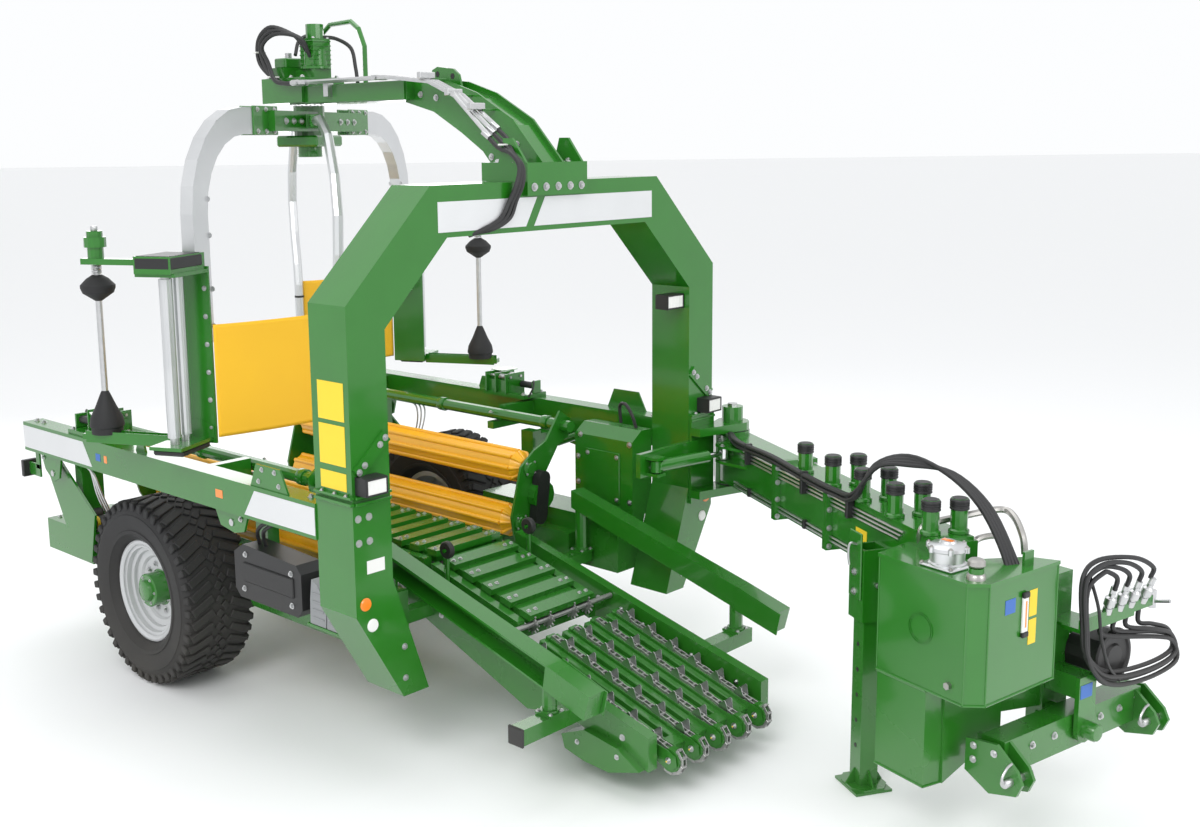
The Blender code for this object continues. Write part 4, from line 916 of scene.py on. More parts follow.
def makeTank():
    green, steel, gauge, yellowPlates, bluePlates, metal, tag, black = (bmesh.new() for _ in range(8))
    corners = [headPlace @ Vector((*spot, 0)) for spot in tank["head"]]
    corners += [barPlace @ Vector((*spot, 0)) for spot in tank["bar"]]
    middle = sum(corners, Vector()) / len(corners)
    lip = [(spot.x + (spot - middle).normalized().x * 0.008,
            spot.y + (spot - middle).normalized().y * 0.008)
           for spot in corners[:5]] + [(spot.x, spot.y) for spot in corners[5:]]
    addPlate(green, lip, Matrix.Translation((0, 0, tank["top"] - 0.012)), 0.016)
    for first, second in zip(corners, corners[1:5]):  # weld along the step
        lift = Vector((0, 0, tank["step"]))
        addRod(green, first + lift, second + lift, 0.006, still, 8)
    lower = [headPlace @ Vector((*spot, 0)) for spot in tank["lower"]]
    for first, second in zip(lower, lower[1:]):
        for level, radius in ((tank["step"] - 0.006, 0.008), (0.276, 0.006)):
            lift = Vector((0, 0, level))
            addRod(green, first + lift, second + lift, radius, still, 8)
    for spot in corners[:4]:
        addRod(green, spot + Vector((0, 0, tank["step"])), spot + Vector((0, 0, tank["top"] - 0.01)), 0.004,
               still, 8)
    filterPlace = headPlace @ Matrix.Translation((-0.165, -0.61, 0))
    addBox(metal, (-0.082, 0.082), (-0.078, 0.082), (1.203, 1.217), filterPlace, 0.006)
    addTurned(metal, [(0.0, 1.312), (0.030, 1.312), (0.036, 1.304), (0.068, 1.298), (0.078, 1.290),
                      (0.080, 1.276),
                      (0.070, 1.270), (0.069, 1.228), (0.076, 1.222), (0.076, 1.216), (0.0, 1.216)],
              filterPlace, 40)
    for i in range(6):  # the lid's bolted ears
        angle = 2 * pi * i / 6 + 0.3
        a, b = 0.080 * cos(angle), 0.080 * sin(angle)
        addRod(metal, (a, b, 1.272), (a, b, 1.294), 0.011, filterPlace)
        addBolt(steel, (a, b, 1.294), (0, 0, 1), 0.006, filterPlace)
    for a, b in ((-0.072, -0.068), (0.072, -0.068), (-0.072, 0.072), (0.072, 0.072)):
        addBolt(steel, (a, b, 1.217), (0, 0, 1), 0.007, filterPlace)
    breather = headPlace @ Matrix.Translation((0.01, -0.655, 0))
    addTurned(steel, [(0.0, 1.288), (0.026, 1.286), (0.034, 1.278), (0.036, 1.262), (0.030, 1.254),
                      (0.022, 1.250),
                      (0.022, 1.232), (0.030, 1.228), (0.036, 1.220), (0.038, 1.203), (0.0, 1.203)],
              breather, 28)
    addTube(steel, [(3.834, 0.280, 1.204), (3.845, 0.255, 1.25), (3.855, 0.250, 1.285),
                    (3.869, 0.290, 1.305),
                    (3.95, 0.44, 1.322), (4.031, 0.601, 1.33), (4.10, 0.585, 1.315), (4.166, 0.535, 1.25),
                    (4.185, 0.52, 1.18)],
            0.0155)
    addTube(steel, [(4.014, 0.381, 1.204), (4.02, 0.41, 1.235), (4.035, 0.48, 1.238),
                    (4.051, 0.570, 1.225)], 0.0145)
    for spot in ((3.834, 0.280, 1.204), (4.014, 0.381, 1.204)):
        addRod(steel, spot, Vector(spot) + Vector((0, 0, 0.03)), 0.022, sides=6)
    face = headPlace @ facing((0.081, -0.660, 0), (-0.017, 0.465, 0), (0, 0, 1))
    addBox(gauge, (0.216, 0.252), (0.94, 1.115), (0.0, 0.0115), face, 0.003)
    for z in (0.945, 1.110):
        addBox(black, (0.214, 0.254), (z - 0.012, z + 0.012), (0.0, 0.016), face, 0.004)
    addBox(tag, (0.229, 0.239), (0.975, 1.085), (0.009, 0.0122), face)
    addBox(tag, (-0.024, 0.024), (-0.011, 0.011), (1.311, 1.3135), filterPlace)
    for z0, z1 in ((0.890, 0.995), (1.008, 1.118)):
        addBox(yellowPlates, (0.270, 0.322), (z0, z1), (0.0003, 0.0014), face)
    addBox(bluePlates, (0.106, 0.174), (1.05, 1.11), (0.0003, 0.0014), face)
    near = headPlace @ facing((-0.447, -0.687, 0), (0.471, -0.039, 0), (0, 0, 1))
    addRod(steel, (0.40, 0.76, 0), (0.40, 0.76, 0.016), 0.016, near, 6)
    for radius in (0.058, 0.066):
        addTurned(green, [(radius - 0.004, 0.0), (radius - 0.004, 0.004), (radius, 0.004), (radius, 0.0)],
                  near @ Matrix.Translation((0.24, 0.95, 0)), 40, closed=True)
    # the lower tank's front plate, carried on to the headstock
    addPlate(green, [(-0.612, 0.272), (-0.235, 0.40), (-0.235, 0.699), (-0.612, 0.699)],
             headPlace @ facing((-0.158, 0, 0), (0, 1, 0), (0, 0, 1)), 0.010)
    addPiece(green, "tankSeams", "drawbar", greenPaint)
    addPiece(steel, "tankSteel", "drawbar", satinSteel)
    addPiece(metal, "tankFilter", "drawbar", aluminium)
    addPiece(gauge, "sightGauge", "drawbar", whitePlastic)
    addPiece(black, "gaugeEnds", "drawbar", blackPlastic)
    addPiece(tag, "tankTags", "drawbar", amber)
    addPiece(yellowPlates, "tankYellowPlates", "drawbar", yellowLabel)
    addPiece(bluePlates, "tankBluePlates", "drawbar", blueLabel)


def makeDrawbarFittings():
    steel, hoses, bolts, caps, label, green = (bmesh.new() for _ in range(6))
    inward, thin = -0.0965, 0.0058  # the jack rises outside these pipes
    for i, z in enumerate((1.236, 1.216, 1.196)):
        route = [(0.30 + 0.03 * i, inward, z), (1.0, inward, z), (1.60, inward, z),
                 (2.02 - 0.02 * i, inward, z)]
        addTube(steel, route, thin, barPlace, 2)
    for z in (1.018, 1.038):
        addTube(steel, [(0.25, inward, z), (1.0, inward, z), (1.72, inward, z)], thin, barPlace, 2)
    for i in range(4):
        n, z = -0.108 - 0.012 * (i % 2), 1.262 + 0.022 * (i // 2)
        addTube(hoses, [(0.12, n + 0.05, z), (0.35, n, z), (0.75, n, z + 0.012), (1.10, n, z), (1.45, n, z),
                        (1.62, n, z + 0.03),
                        (1.70 + 0.01 * i, -0.06, 1.46), (1.80 + 0.012 * i, 0.05, 1.515 - 0.012 * i),
                        (1.98, 0.13 + 0.01 * i, 1.47),
                        (2.20, 0.15 + 0.015 * i, 1.38), (2.42, 0.12 + 0.015 * i, 1.24),
                        (2.52, 0.10 + 0.02 * i, 1.10),
                        (2.50, 0.10 + 0.02 * i, 0.98)], 0.0105, barPlace, 5)
    for u in (0.45, 1.10, 1.56):
        addBox(caps, (u, u + 0.022), (-0.130, -0.0895), (1.184, 1.300), barPlace, 0.004)
        addBox(caps, (u, u + 0.022), (-0.112, -0.0895), (1.006, 1.050), barPlace, 0.003)
    for u, out in ((0.770, -1), (0.810, 1), (1.330, -1), (1.370, 1)):
        for n in (-0.105, 0.105):
            for z in (0.99, 1.08, 1.17, 1.245):
                addBolt(bolts, (u, n, z), (out, 0, 0), 0.010, barPlace)
    place = barPlace @ sideFace(-0.0903)
    addBox(label, (1.60, 1.70), (1.085, 1.150), (0, 0.0012), place)
    for across, last, count in ((-0.062, 0.12, 5), (0.062, 0.10, 4)):
        for i in range(count):
            spot = barPlace @ Matrix.Translation((2.29 - last - 0.285 * i, across, 0))
            profile = [(0.0, 1.4225), (0.030, 1.4225), (0.037, 1.418)]
            for step in range(3):
                z = 1.412 - step * 0.010
                profile += [(0.041, z), (0.041, z - 0.005), (0.0385, z - 0.006), (0.0385, z - 0.009)]
            profile += [(0.041, 1.380), (0.041, 1.374), (0.0365, 1.372)]
            addTurned(caps, profile, spot, 24)
            addTurned(green, [(0.036, 1.290), (0.044, 1.284), (0.044, 1.272), (0.036, 1.2715)], spot, 20)
    # the jack's tall plate, its pin and its winding handle
    u, n = 2.29 - 0.453, -0.152
    addBox(green, (u - 0.052, u + 0.052), (n - 0.073, n - 0.063), (0.90, 1.205), barPlace, 0.004)
    addTube(steel, [(u + 0.012, n - 0.070, 1.15), (u + 0.012, n - 0.105, 1.155),
                    (u + 0.012, n - 0.112, 1.11),
                    (u + 0.012, n - 0.106, 1.06)], 0.006, barPlace)
    for hand in (-1, 1):
        addRod(steel, (u + 0.0625 * hand, n, 0.97), (u + 0.085 * hand, n, 0.97), 0.011, barPlace, cut=0.003)
    for z in (0.93, 1.02):
        addBolt(bolts, (u, n - 0.073, z), (0, -1, 0), 0.012, barPlace)
    for v, w in ((0.24, -0.165), (0.10, -0.12)):
        addBolt(bolts, (v, w, 1.243), (0, 0, 1), 0.010, barPlace)
    addRod(bolts, (0, 0, 1.416), (0, 0, 1.432), 0.03, barPlace, 6)
    addPiece(green, "drawbarPlates", "drawbar", greenPaint)
    addPiece(steel, "drawbarPipes", "drawbar", zinc)
    addPiece(hoses, "drawbarHoses", "drawbar", hoseRubber)
    addPiece(bolts, "drawbarBolts", "drawbar", zinc)
    addPiece(caps, "postCaps", "drawbar", blackPlastic)
    addPiece(label, "drawbarPlate", "drawbar", yellowLabel)


def makeJackFoot():
    u, n = 2.29 - 0.453, -0.152
    green, bolts = bmesh.new(), bmesh.new()
    foot = barPlace @ Matrix.Translation((u, n, 0))
    addPlate(green, [(-0.098, -0.05), (-0.05, -0.088), (0.05, -0.088), (0.098, -0.05), (0.098, 0.05),
                     (0.05, 0.088),
                     (-0.05, 0.088), (-0.098, 0.05)], foot @ Matrix.Translation((0, 0, 0.0115)), 0.010)
    for turn in range(4):
        rib = foot @ Matrix.Rotation(turn * pi / 2, 4, "Z") @ facing((0, 0.004, 0), (1, 0, 0), (0, 0, 1))
        addPlate(green, [(0.044, 0.02), (0.092, 0.02), (0.048, 0.09), (0.044, 0.09)], rib, 0.008)
    for z in (0.20, 0.32, 0.44, 0.56, 0.68):
        for n0, hand in ((-0.045, -1), (0.045, 1)):
            addRod(bolts, (0, n0, z), (0, n0 + 0.0015 * hand, z), 0.010, foot)
    addPiece(green, "jackFoot", "jack_stand", greenPaint)
    addPiece(bolts, "jackHoles", "jack_stand", blackPlastic)


def makeHitch():
    green, steel, bolts, hoses, black, blue = (bmesh.new() for _ in range(6))
    for y in (-0.484, 0.484):  # pins with their handles and rings
        addRod(steel, (0.12, y - 0.088, 0.361), (0.12, y + 0.088, 0.361), 0.0185, headPlace, 20, cut=0.003)
        addTube(steel, [(0.12, y - 0.085, 0.361), (0.12, y - 0.100, 0.39), (0.12, y - 0.07, 0.425),
                        (0.12, y - 0.04, 0.435)],
                0.006, headPlace)
        addTube(steel, [(0.12, y + 0.07, 0.345), (0.12, y + 0.078, 0.325), (0.12, y + 0.07, 0.305),
                        (0.12, y + 0.062, 0.325),
                        (0.12, y + 0.07, 0.345)], 0.003, headPlace)
        for off, hand in ((-0.0465, -1), (0.0465, 1)):
            for a, b in ((-0.06, 0.39), (-0.06, 0.45), (0.04, 0.45)):
                addBolt(bolts, (a, y + off, b), (0, hand, 0), 0.011, headPlace)
    for y in (-0.30, -0.15, 0.18, 0.32):
        addBolt(bolts, (0.055, y, 0.43), (1, 0, 0), 0.012, headPlace)
    addTurned(green, [(0.0, 0.062), (0.034, 0.060), (0.040, 0.050), (0.040, 0.0)],
              headPlace @ facing((0.084, 0.03, 0.421), (0, 1, 0), (0, 0, 1)), 28)
    addPiece(green, "rollPin", "drawbar", greenPaint)
    addPiece(steel, "hitchPins", "hitch_bar", zinc)
    addPiece(bolts, "hitchBolts", "hitch_bar", zinc)
    stand, couplers = bmesh.new(), bmesh.new()
    addPlate(stand, [(-0.075, 0.885), (0.47, 0.885), (0.485, 0.90), (0.485, 0.93), (-0.075, 0.93)],
             headPlace @ facing((0.092, 0, 0), (0, 1, 0), (0, 0, 1)), 0.008)
    for i, y in enumerate((0.128, 0.212, 0.292, 0.384)):
        tilt = headPlace @ Matrix.Translation((0.082, y, 0.895)) @ Matrix.Rotation(radians(14 + 3 * i), 4,
                                                                                   "Y")
        addTurned(couplers, [(0.0, 0.0), (0.013, 0.0), (0.013, 0.020), (0.020, 0.022), (0.020, 0.050),
                             (0.016, 0.052),
                             (0.016, 0.060), (0.024, 0.062), (0.024, 0.096), (0.020, 0.100), (0.014, 0.104),
                             (0.014, 0.120),
                             (0.0, 0.120)], tilt, 24)
        addRod(couplers, (0, 0, 0.118), (0, 0, 0.150), 0.0135, tilt, 6)
    addRod(couplers, (0.10, 0.47, 0.90), (0.172, 0.47, 0.92), 0.008, headPlace)
    addRod(couplers, (0.09, 0.47, 0.87), (0.09, 0.47, 0.95), 0.017, headPlace, 6)
    route = [(0.02, 1.174), (-0.086, 1.112), (-0.069, 0.915), (-0.034, 0.781), (0.119, 0.665),
             (0.400, 0.625),
             (0.620, 0.645), (0.590, 0.745), (0.463, 0.800)]
    for i in range(4):
        drop = 0.020 * i
        y = 0.384 - 0.088 * i
        top = [(0.125, y, 1.030), (0.140, y - 0.01, 1.085), (0.130, y * 0.62, 1.150 - 0.012 * i)]
        points = top + [(0.105 + 0.016 * (i % 2), y + 0.016 * (i // 2),
                         z - drop * (0.4 + 0.6 * sin(y * 2 + 1)))
                  for y, z in route] + [(0.085, 0.384 - 0.088 * i, 0.82), (0.080, 0.384 - 0.086 * i, 0.885)]
        addTube(hoses, points, 0.0105, headPlace)
    addTube(hoses, [(0.10, -0.03, 1.12), (0.13, 0.0, 0.98), (0.14, 0.02, 0.84), (0.13, 0.10, 0.70),
                    (0.11, 0.22, 0.60)], 0.007, headPlace)
    guard = headPlace @ facing((0.058, 0.235, 0.69), (0, 1, 0), (0, 0, 1))
    addTurned(black, [(0.121, -0.010), (0.128, -0.006), (0.130, 0.006), (0.124, 0.014), (0.108, 0.016),
                      (0.102, 0.008),
                      (0.060, 0.006), (0.052, 0.016), (0.0, 0.018), (0.0, 0.0)], guard, 40)
    addBox(blue, (-0.022, 0.060), (0.565, 0.625), (0.0002, 0.0014), headPlace @ frontFace(0.0852))
    addPiece(stand, "couplerBar", "drawbar", greenPaint)
    addPiece(couplers, "couplers", "drawbar", zinc)
    addPiece(black, "couplerCaps", "drawbar", blackPlastic)
    addPiece(hoses, "hitchHoses", "drawbar", hoseRubber)
    addPiece(blue, "headstockPlate", "drawbar", blueLabel)


makeTank()
makeDrawbarFittings()
makeJackFoot()
makeHitch()
print("drawbar, tank and hitch fittings made")


# ---- chassis fittings ----
leg = {"rear": 1.712, "front": 1.974, "outer": 1.287, "inner": 1.075}


def makeLegFittings():
    green, bolts, yellowPlates, whites, ambers = (bmesh.new() for _ in range(5))
    for sign in (-1, 1):
        x0, x1 = leg["rear"], leg["front"]
        y0, y1 = sorted((leg["inner"] * sign, leg["outer"] * sign))
        for z0, z1 in ((1.362, 1.376), (1.392, 1.404)):  # collar where the leg's halves are bolted
            addBox(green, (x1 - 0.004, x1 + 0.022), (y0 + 0.006, y1 - 0.006), (z0, z1), cut=0.002)
            outer = leg["outer"] * sign
            addBox(green, (x0 + 0.01, x1 + 0.01), (outer - 0.004 * sign, outer + 0.020 * sign), (z0, z1),
                   cut=0.002)
        for y in (y0 + 0.05, (y0 + y1) / 2, y1 - 0.05):
            addBolt(bolts, (x1 + 0.011, y, 1.404), (0, 0, 1), 0.008)
        for x in (x0 + 0.06, x0 + 0.15, x0 + 0.23):
            addBolt(bolts, (x, leg["outer"] * sign + 0.010 * sign, 1.404), (0, 0, 1), 0.008)
        bar = frontFace(x1)
        foot, head = Vector((1.262 * sign, 1.500)), Vector((1.052 * sign + 0.040 * sign, 1.650))
        across = (head - foot).normalized().orthogonal() * 0.030
        ends = [foot - across, head - across, head + across, foot + across]
        addPlate(green, [(p.x, p.y) for p in ends], axlePlace @ bar, 0.012)
        for part in (0.06, 0.24, 0.76, 0.94):
            spot = foot.lerp(head, part)
            addBolt(bolts, (x1 + 0.012, spot.x, spot.y), (1, 0, 0), 0.011)
        for z in (0.47, 0.62):
            addBolt(bolts, (x1, 1.02 * sign, z + 0.03), (1, 0, 0), 0.011)
        for z in (1.19, 1.30):
            for y in (1.20, 1.26):
                addBolt(bolts, (x1, y * sign, z), (1, 0, 0), 0.012)
        side = axlePlace @ sideFace((leg["outer"] + 0.0004) * sign, sign)
        for z0, z1 in ((1.53, 1.71), (1.73, 1.90), (1.42, 1.50)):
            a0, a1 = sorted((-(x0 + 0.045) * sign, -(x1 - 0.035) * sign))
            addBox(yellowPlates, (a0, a1), (z0, z1), (0, 0.001), side)
    addBox(whites, (leg["front"] + 0.0003, leg["front"] + 0.0015), (-1.22, -1.12), (1.04, 1.10))
    for y, z, form in ((-1.235, 0.905, ambers), (1.235, 0.905, ambers), (-1.20, 0.80, whites),
                       (1.20, 0.80, whites)):
        disc = axlePlace @ facing((leg["front"] - 0.0005, y, z), (0, 1, 0), (0, 0, 1))
        addTurned(form, [(0.0, 0.010), (0.026, 0.009), (0.030, 0.004), (0.030, 0.0), (0.0, 0.0)], disc, 32)
    for side, sign in sides:
        disc = axlePlace @ facing((-1.0905, 1.10 * sign, 0.64), (0, -1, 0), (0, 0, 1))
        addTurned(ambers, [(0.0, 0.012), (0.030, 0.010), (0.034, 0.004), (0.034, 0.0), (0.0, 0.0)], disc,
                  32)
    addPiece(green, "legPlates", "chassis", greenPaint)
    addPiece(bolts, "legBolts", "chassis", zinc)
    addPiece(yellowPlates, "legYellowPlates", "chassis", yellowLabel)
    addPiece(whites, "whiteReflectors", "chassis", whitePlastic)
    addPiece(ambers, "amberReflectors", "chassis", amber)


def makeBeamFittings():
    green, bolts, steel, blue, orange, black, grey, yellowRings = (bmesh.new() for _ in range(8))
    for sign in (-1, 1):
        y0, y1 = sorted((1.244 * sign, 1.256 * sign))
        for outline in ([(-1.00, 1.163), (-0.75, 1.163), (-0.79, 1.03), (-0.86, 1.0), (-0.95, 1.06)],
                        [(0.83, 1.163), (1.12, 1.163), (1.08, 1.07), (1.0, 1.05), (0.88, 1.07)]):
            flip = [(-sign * x, z) for x, z in outline]
            addPlate(green, flip, axlePlace @ sideFace(y0 if sign < 0 else y1,
                                                       sign) @ Matrix.Translation((0, 0, -0.012)), 0.012)
        for x, z in ((-0.86, 1.05), (0.98, 1.10)):
            addRod(steel, (x, 1.235 * sign, z), (x, 1.262 * sign, z), 0.018)
        for x in (-0.96, 1.06):
            addBolt(bolts, (x, 1.2575 * sign, 1.13), (0, sign, 0), 0.010)
        plate = [(1.20, 1.328), (1.25, 1.44), (1.44, 1.44), (1.50, 1.328)]
        flip = [(-sign * x, z) for x, z in plate]
        addPlate(green, flip, axlePlace @ sideFace(1.286 * sign, sign) @ Matrix.Translation((0, 0, -0.010)),
                 0.010)
        for x, z in ((1.27, 1.36), (1.43, 1.36), (1.30, 1.42), (1.40, 1.42)):
            addBolt(bolts, (x, 1.286 * sign, z), (0, sign, 0), 0.009)
        for x in (-1.06, -0.98, 1.60, 1.67):
            addBolt(bolts, (x, 1.23 * sign, 1.330), (0, 0, 1), 0.013)
        for x in (-0.80, 0.62):  # caps of the hooks that hold the torsion tube
            for across in (0.935, 0.825):
                addBolt(bolts, (x + 0.025, across * sign, 1.286), (0, 0, 1), 0.010)
        face = axlePlace @ sideFace(1.2943 * sign, sign)
        for form, x, wide in ((blue, -0.24, 0.05), (orange, 0.94, 0.06), (orange, -0.16, 0.03)):
            a = -sign * x
            addBox(form, (a - wide / 2, a + wide / 2), (1.225, 1.265), (0, 0.001), face)
        # two valve blocks and pipes behind the wheel, under the rear box's plate
        for i, (x, z) in enumerate(((-0.70, 0.80), (-0.60, 0.78))):
            addRod(black, (x, 1.06 * sign, z + 0.0), (x, 1.185 * sign, z), 0.036, cut=0.006)
            addRod(yellowRings, (x, 1.135 * sign, z), (x, 1.155 * sign, z), 0.0372, cut=0.002)
        for i in range(3):
            x = -0.50 + 0.03 * i
            addTube(steel, [(-0.90, (1.215 + 0.012 * i) * sign, 1.150),
                            (-0.62 + 0.02 * i, (1.215 + 0.012 * i) * sign, 1.148),
                            (x, (1.212 + 0.010 * i) * sign, 1.12), (x + 0.02, 1.19 * sign, 0.98),
                            (x - 0.02, 1.12 * sign, 0.84),
                            (-0.62, 1.04 * sign, 0.80)], 0.0065)
        addTube(steel, [(-0.66, 1.175 * sign, 0.735), (-0.66, 1.175 * sign, 0.79),
                        (-0.62, 1.175 * sign, 0.83),
                        (-0.57, 1.175 * sign, 0.80), (-0.57, 1.175 * sign, 0.735)], 0.008)
        for x in (-1.05, -0.60):
            for y in (0.84, 1.14):
                addBolt(bolts, (x, y * sign, 0.73), (0, 0, 1), 0.010)
        # carriage cylinder, from the beam's inner face
        addRod(green, (1.30, 1.165 * sign, 1.24), (1.02, 1.02 * sign, 1.12), 0.024)
        addRod(steel, (1.02, 1.02 * sign, 1.12), (0.965, 0.99 * sign, 1.096), 0.013)
        addRod(green, (0.965, 0.985 * sign, 1.07), (0.965, 0.985 * sign, 1.12), 0.022)
    # drive cover on the near side, with its bolt and hoses, and two chocks in front of it
    for x, z in ((0.90, 0.72), (1.30, 0.72), (1.30, 0.88), (0.92, 0.90)):
        addBolt(bolts, (x, -1.15, z), (0, -1, 0), 0.011)
    addBox(black, (0.90, 1.32), (-1.158, -1.148), (0.76, 0.86), cut=0.006)
    for i in range(2):
        addTube(black, [(0.95 + 0.05 * i, -1.08, 0.94), (0.96 + 0.05 * i, -1.10, 1.00),
                        (1.02 + 0.05 * i, -1.13, 1.05),
                        (1.12 + 0.05 * i, -1.15, 1.10), (1.25, -1.16 + 0.02 * i, 1.14)], 0.010)
    for i in range(2):
        chock = axlePlace @ Matrix.Translation((0.13 * i, 0, 0)) @ sideFace(-1.015)
        addPlate(grey, [(1.42, 0.66), (1.54, 0.66), (1.545, 0.72), (1.53, 0.80), (1.48, 0.86), (1.44, 0.88),
                        (1.425, 0.78)],
                 chock, 0.12)
        for j in range(4):
            addBox(grey, (1.44, 1.53), (0.69 + 0.04 * j, 0.70 + 0.04 * j), (0.118, 0.124), chock, 0.002)
    addBox(green, (1.40, 1.70), (-1.14, -1.012), (0.645, 0.658), cut=0.002)
    addPiece(green, "beamPlates", "chassis", greenPaint)
    addPiece(bolts, "beamBolts", "chassis", zinc)
    addPiece(steel, "chassisPipes", "chassis", zinc)
    addPiece(blue, "beamBluePlates", "chassis", blueLabel)
    addPiece(orange, "beamOrangePlates", "chassis", amber)
    addPiece(black, "valvesAndHoses", "chassis", hoseRubber)
    addPiece(yellowRings, "valveRings", "chassis", yellowLabel)
    addPiece(grey, "wheelChocks", "chassis", greyPlastic)


def makeCutters():
    green, steel, black = bmesh.new(), bmesh.new(), bmesh.new()
    for turn in (0, pi):
        place = Matrix.Translation(rotorAt) @ Matrix.Rotation(turn, 4, "Z") @ Matrix.Translation((-0.455, 0,
                                                                                                  0))
        for x, y in ((-0.155, -1.26), (-0.155, -1.10), (0.165, -1.26), (0.165, -1.10)):
            addBolt(steel, (x, y, 1.3554), (0, 0, 1), 0.011, place)
        for x in (-0.030, 0.060, 0.145):  # plates that pinch the film
            addBox(green, (x - 0.005, x + 0.005), (-1.235, -1.065), (1.35, 1.475), place, 0.002)
        for y in (-1.195, -1.105):
            addRod(steel, (-0.045, y, 1.452), (0.165, y, 1.452), 0.008, place)
            addSpring(steel, (-0.025, y, 1.452), (0.055, y, 1.452), 0.014, 0.0025, 8, place)
        addRod(black, (-0.165, -1.20, 1.40), (-0.045, -1.20, 1.40), 0.021, place, cut=0.004)
        addRod(steel, (-0.045, -1.20, 1.40), (-0.028, -1.20, 1.40), 0.008, place)
        addBox(green, (-0.18, -0.165), (-1.235, -1.165), (1.355, 1.435), place, 0.003)
        addPlate(green, [(0.06, -1.27), (0.14, -1.30), (0.20, -1.23), (0.18, -1.15), (0.08, -1.15)],
                 place @ Matrix.Translation((0, 0, 1.474)), 0.004)
        addTube(black, [(-0.16, -1.18, 1.41), (-0.20, -1.15, 1.44), (-0.22, -1.12, 1.40),
                        (-0.20, -1.10, 1.345)], 0.006, place)
    addPiece(green, "cutterPlates", "chassis", greenPaint)
    addPiece(steel, "cutterSteel", "chassis", zinc)
    addPiece(black, "cutterCylinders", "chassis", hoseRubber)


def makeCarriageFittings():
    for side, sign in sides:
        green, bolts, black = bmesh.new(), bmesh.new(), bmesh.new()
        for level in ("upper", "lower"):
            spin = jointAt(f"yellow_roller_{level}_spin_{side}")
            low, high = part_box("yellow_roller_%s_%s" % (level, side))
            for x, out in ((high.x + 0.0155, 1), (low.x - 0.0155, -1)):
                hub = facing((x, spin.y, spin.z), (0, 1, 0), (0, 0, 1)) if out > 0 else \
                    facing((x, spin.y, spin.z), (0, -1, 0), (0, 0, 1))
                addTurned(green, [(0.0, 0.020), (0.030, 0.019), (0.034, 0.012), (0.052, 0.010),
                                  (0.052, 0.0), (0.0, 0.0)], hub, 28)
                for i in range(4):
                    angle = pi / 4 + i * pi / 2
                    addBolt(bolts, (0.043 * cos(angle), 0.043 * sin(angle), 0.010), (0, 0, 1), 0.006, hub)
        low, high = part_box("carriage_" + side)
        cover = facing((high.x - 0.058, 0.66 * sign, 0.90), (0, 1, 0), (0, 0, 1))
        ends = [(0.045 * cos(a), 0.10 + 0.045 * sin(a)) for a in (i * pi / 8 for i in range(9))]
        ends += [(-x - 0.03 * sign, -z - 0.02) for x, z in ends]
        addPlate(black, ends, cover, 0.056)
        for x in (low.x + 0.10, high.x - 0.22, (low.x + high.x) / 2):
            addRod(green, (x, 0.88 * sign, 1.27), (x + 0.05, 0.88 * sign, 1.27), 0.043, Matrix.Identity(4),
                   24, cut=0.004)
        addPiece(green, "rollerHubs_" + side, "carriage_" + side, greenPaint)
        addPiece(bolts, "hubBolts_" + side, "carriage_" + side, zinc)
        addPiece(black, "chainCover_" + side, "carriage_" + side, blackPlastic)


def makeTableFittings():
    green, bolts, black, steel = (bmesh.new() for _ in range(4))
    for x, z in ((1.318, 1.262), (1.298, 1.13), (1.298, 0.978), (1.69, 1.250), (1.69, 0.914)):
        addBolt(bolts, (x, 0.900, z - 0.03), (0, -1, 0), 0.012)
    addBox(green, (1.36, 1.62), (0.892, 0.9005), (0.86, 1.16), cut=0.003)
    for x in (1.38, 1.60):
        for z in (0.885, 1.135):
            addBolt(bolts, (x, 0.892, z), (0, -1, 0), 0.010)
    addTube(black, [(1.64, 1.02, 1.29), (1.62, 1.01, 1.36), (1.56, 1.02, 1.42), (1.50, 1.04, 1.40),
                    (1.50, 1.05, 1.30)], 0.010)
    for sign in (-1, 1):
        addRod(steel, (1.17, 0.315 * sign, 0.70), (1.32, 0.315 * sign, 0.70), 0.008)
        for x in (1.19, 1.30):
            addRod(steel, (x, 0.315 * sign, 0.70), (x + 0.012, 0.315 * sign, 0.70), 0.016, sides=6)
        for i in range(8):
            x = -0.80 + i * 0.27
            addBolt(bolts, (x, 0.289 * sign, 0.68), (0, sign, 0), 0.009)
    addPiece(green, "tableFittings", "chassis", greenPaint)
    addPiece(bolts, "tableBolts", "chassis", zinc)
    addPiece(black, "coverHose", "chassis", hoseRubber)
    addPiece(steel, "tensioners", "chassis", zinc)


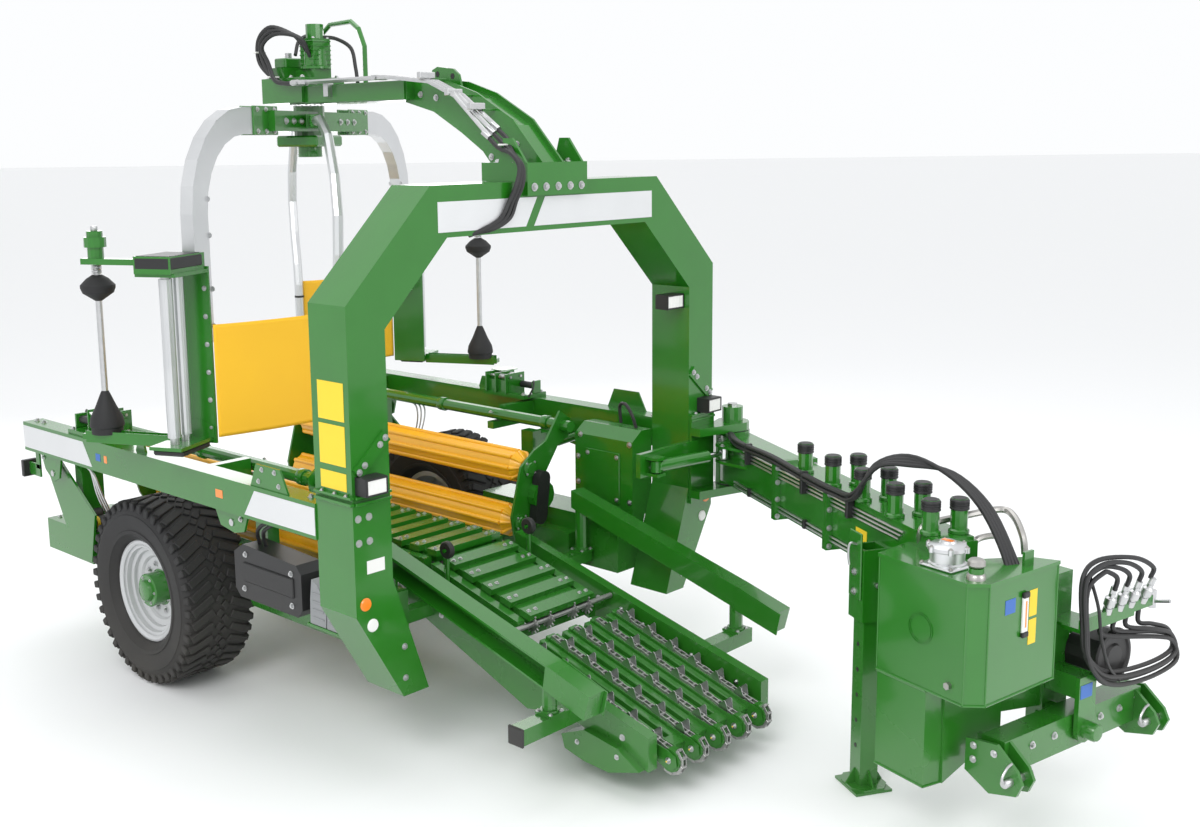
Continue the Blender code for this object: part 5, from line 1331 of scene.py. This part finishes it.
def makeRampFittings():
    green, bolts, black, steel = (bmesh.new() for _ in range(4))
    for sign in (-1, 1):
        for x, z in ((1.60, 0.560), (1.895, 0.500), (2.055, 0.470), (2.202, 0.420), (2.52, 0.335),
                     (2.80, 0.270)):
            addBolt(bolts, (x, 0.460 * sign, z), (0, sign, 0), 0.011)
            addBolt(bolts, (x, 0.400 * sign, z), (0, -sign, 0), 0.010)
        for x, top in ((1.50, 0.622), (2.58, 0.412)):
            for a in (-0.038, 0.038):
                for b in (-0.036, 0.036):
                    addBolt(bolts, (x + a, 0.70 * sign + b, top), (0, 0, 1), 0.008)
        addRod(green, (2.58, 0.70 * sign, 0.412), (2.58, 0.70 * sign, 0.424), 0.044, sides=24)
        addRod(green, (1.50, 0.70 * sign, 0.622), (1.50, 0.70 * sign, 0.634), 0.044, sides=24)
        for radius, y in ((0.030, 0.462), (0.022, 0.476)):
            addRod(steel, (1.30, 0.455 * sign, 0.64), (1.30, y * sign, 0.64), radius, cut=0.002)
        # small guide wheels on stalks beside the slats
        addRod(green, (1.475, 0.30 * sign, 0.66), (1.475, 0.30 * sign, 0.83), 0.012)
        addRod(green, (1.475, 0.275 * sign, 0.838), (1.475, 0.325 * sign, 0.838), 0.010)
        addTurned(black, [(0.012, -0.016), (0.040, -0.016), (0.046, -0.010), (0.046, 0.010), (0.040, 0.016),
                          (0.012, 0.016)],
                  axlePlace @ facing((1.475, 0.30 * sign, 0.84), (-sign, 0, 0), (0, 0, 1)), 28, closed=True)
        for x in (2.56, 2.80):
            addBolt(bolts, (x, 0.50 * sign, 0.19), (0, sign, 0), 0.009)
        plate = [(2.86, 0.455), (2.885, 0.57), (2.62, 0.655), (2.60, 0.53)]
        flip = [(-sign * x, z) for x, z in plate]
        addPlate(green, flip, axlePlace @ sideFace(0.659 * sign, -sign) @ Matrix.Scale(-1, 4, (1, 0, 0)),
                 0.006)
        # chain wheels on the shaft under the slats' lower end
        for y in (0.09, 0.20):
            for i in range(12):
                wheelEnd = axlePlace @ facing((1.985, 0, 0.535), (1, 0, 0), (0, 0, 1))
                turned = wheelEnd @ Matrix.Rotation(2 * pi * i / 12, 4, "Z")
                addBox(steel, (0.030, 0.050), (-0.004, 0.004), (y * sign - 0.004, y * sign + 0.004), turned,
                       0.001)
            addRod(steel, (1.985, (y - 0.004) * sign, 0.535), (1.985, (y + 0.004) * sign, 0.535), 0.036,
                   sides=24)
    addRod(steel, (1.985, -0.395, 0.535), (1.985, 0.395, 0.535), 0.014)
    addBox(black, (2.534, 2.626), (-0.922, -0.906), (0.319, 0.406), cut=0.005)
    addPiece(green, "rampPlates", "loading_ramp", greenPaint)
    addPiece(bolts, "rampBolts", "loading_ramp", zinc)
    addPiece(black, "rampRubber", "loading_ramp", hoseRubber)
    addPiece(steel, "rampShaft", "loading_ramp", chainSteel)


greyPlastic = finish("greyPlastic", (0.22, 0.23, 0.24), (0.28, 0.29, 0.30), 0.50, dirt=0.2, grain=200,
                     bump=0.2)
makeLegFittings()
makeBeamFittings()
makeCutters()
makeCarriageFittings()
makeTableFittings()
makeRampFittings()
print("chassis, carriage and ramp fittings made")
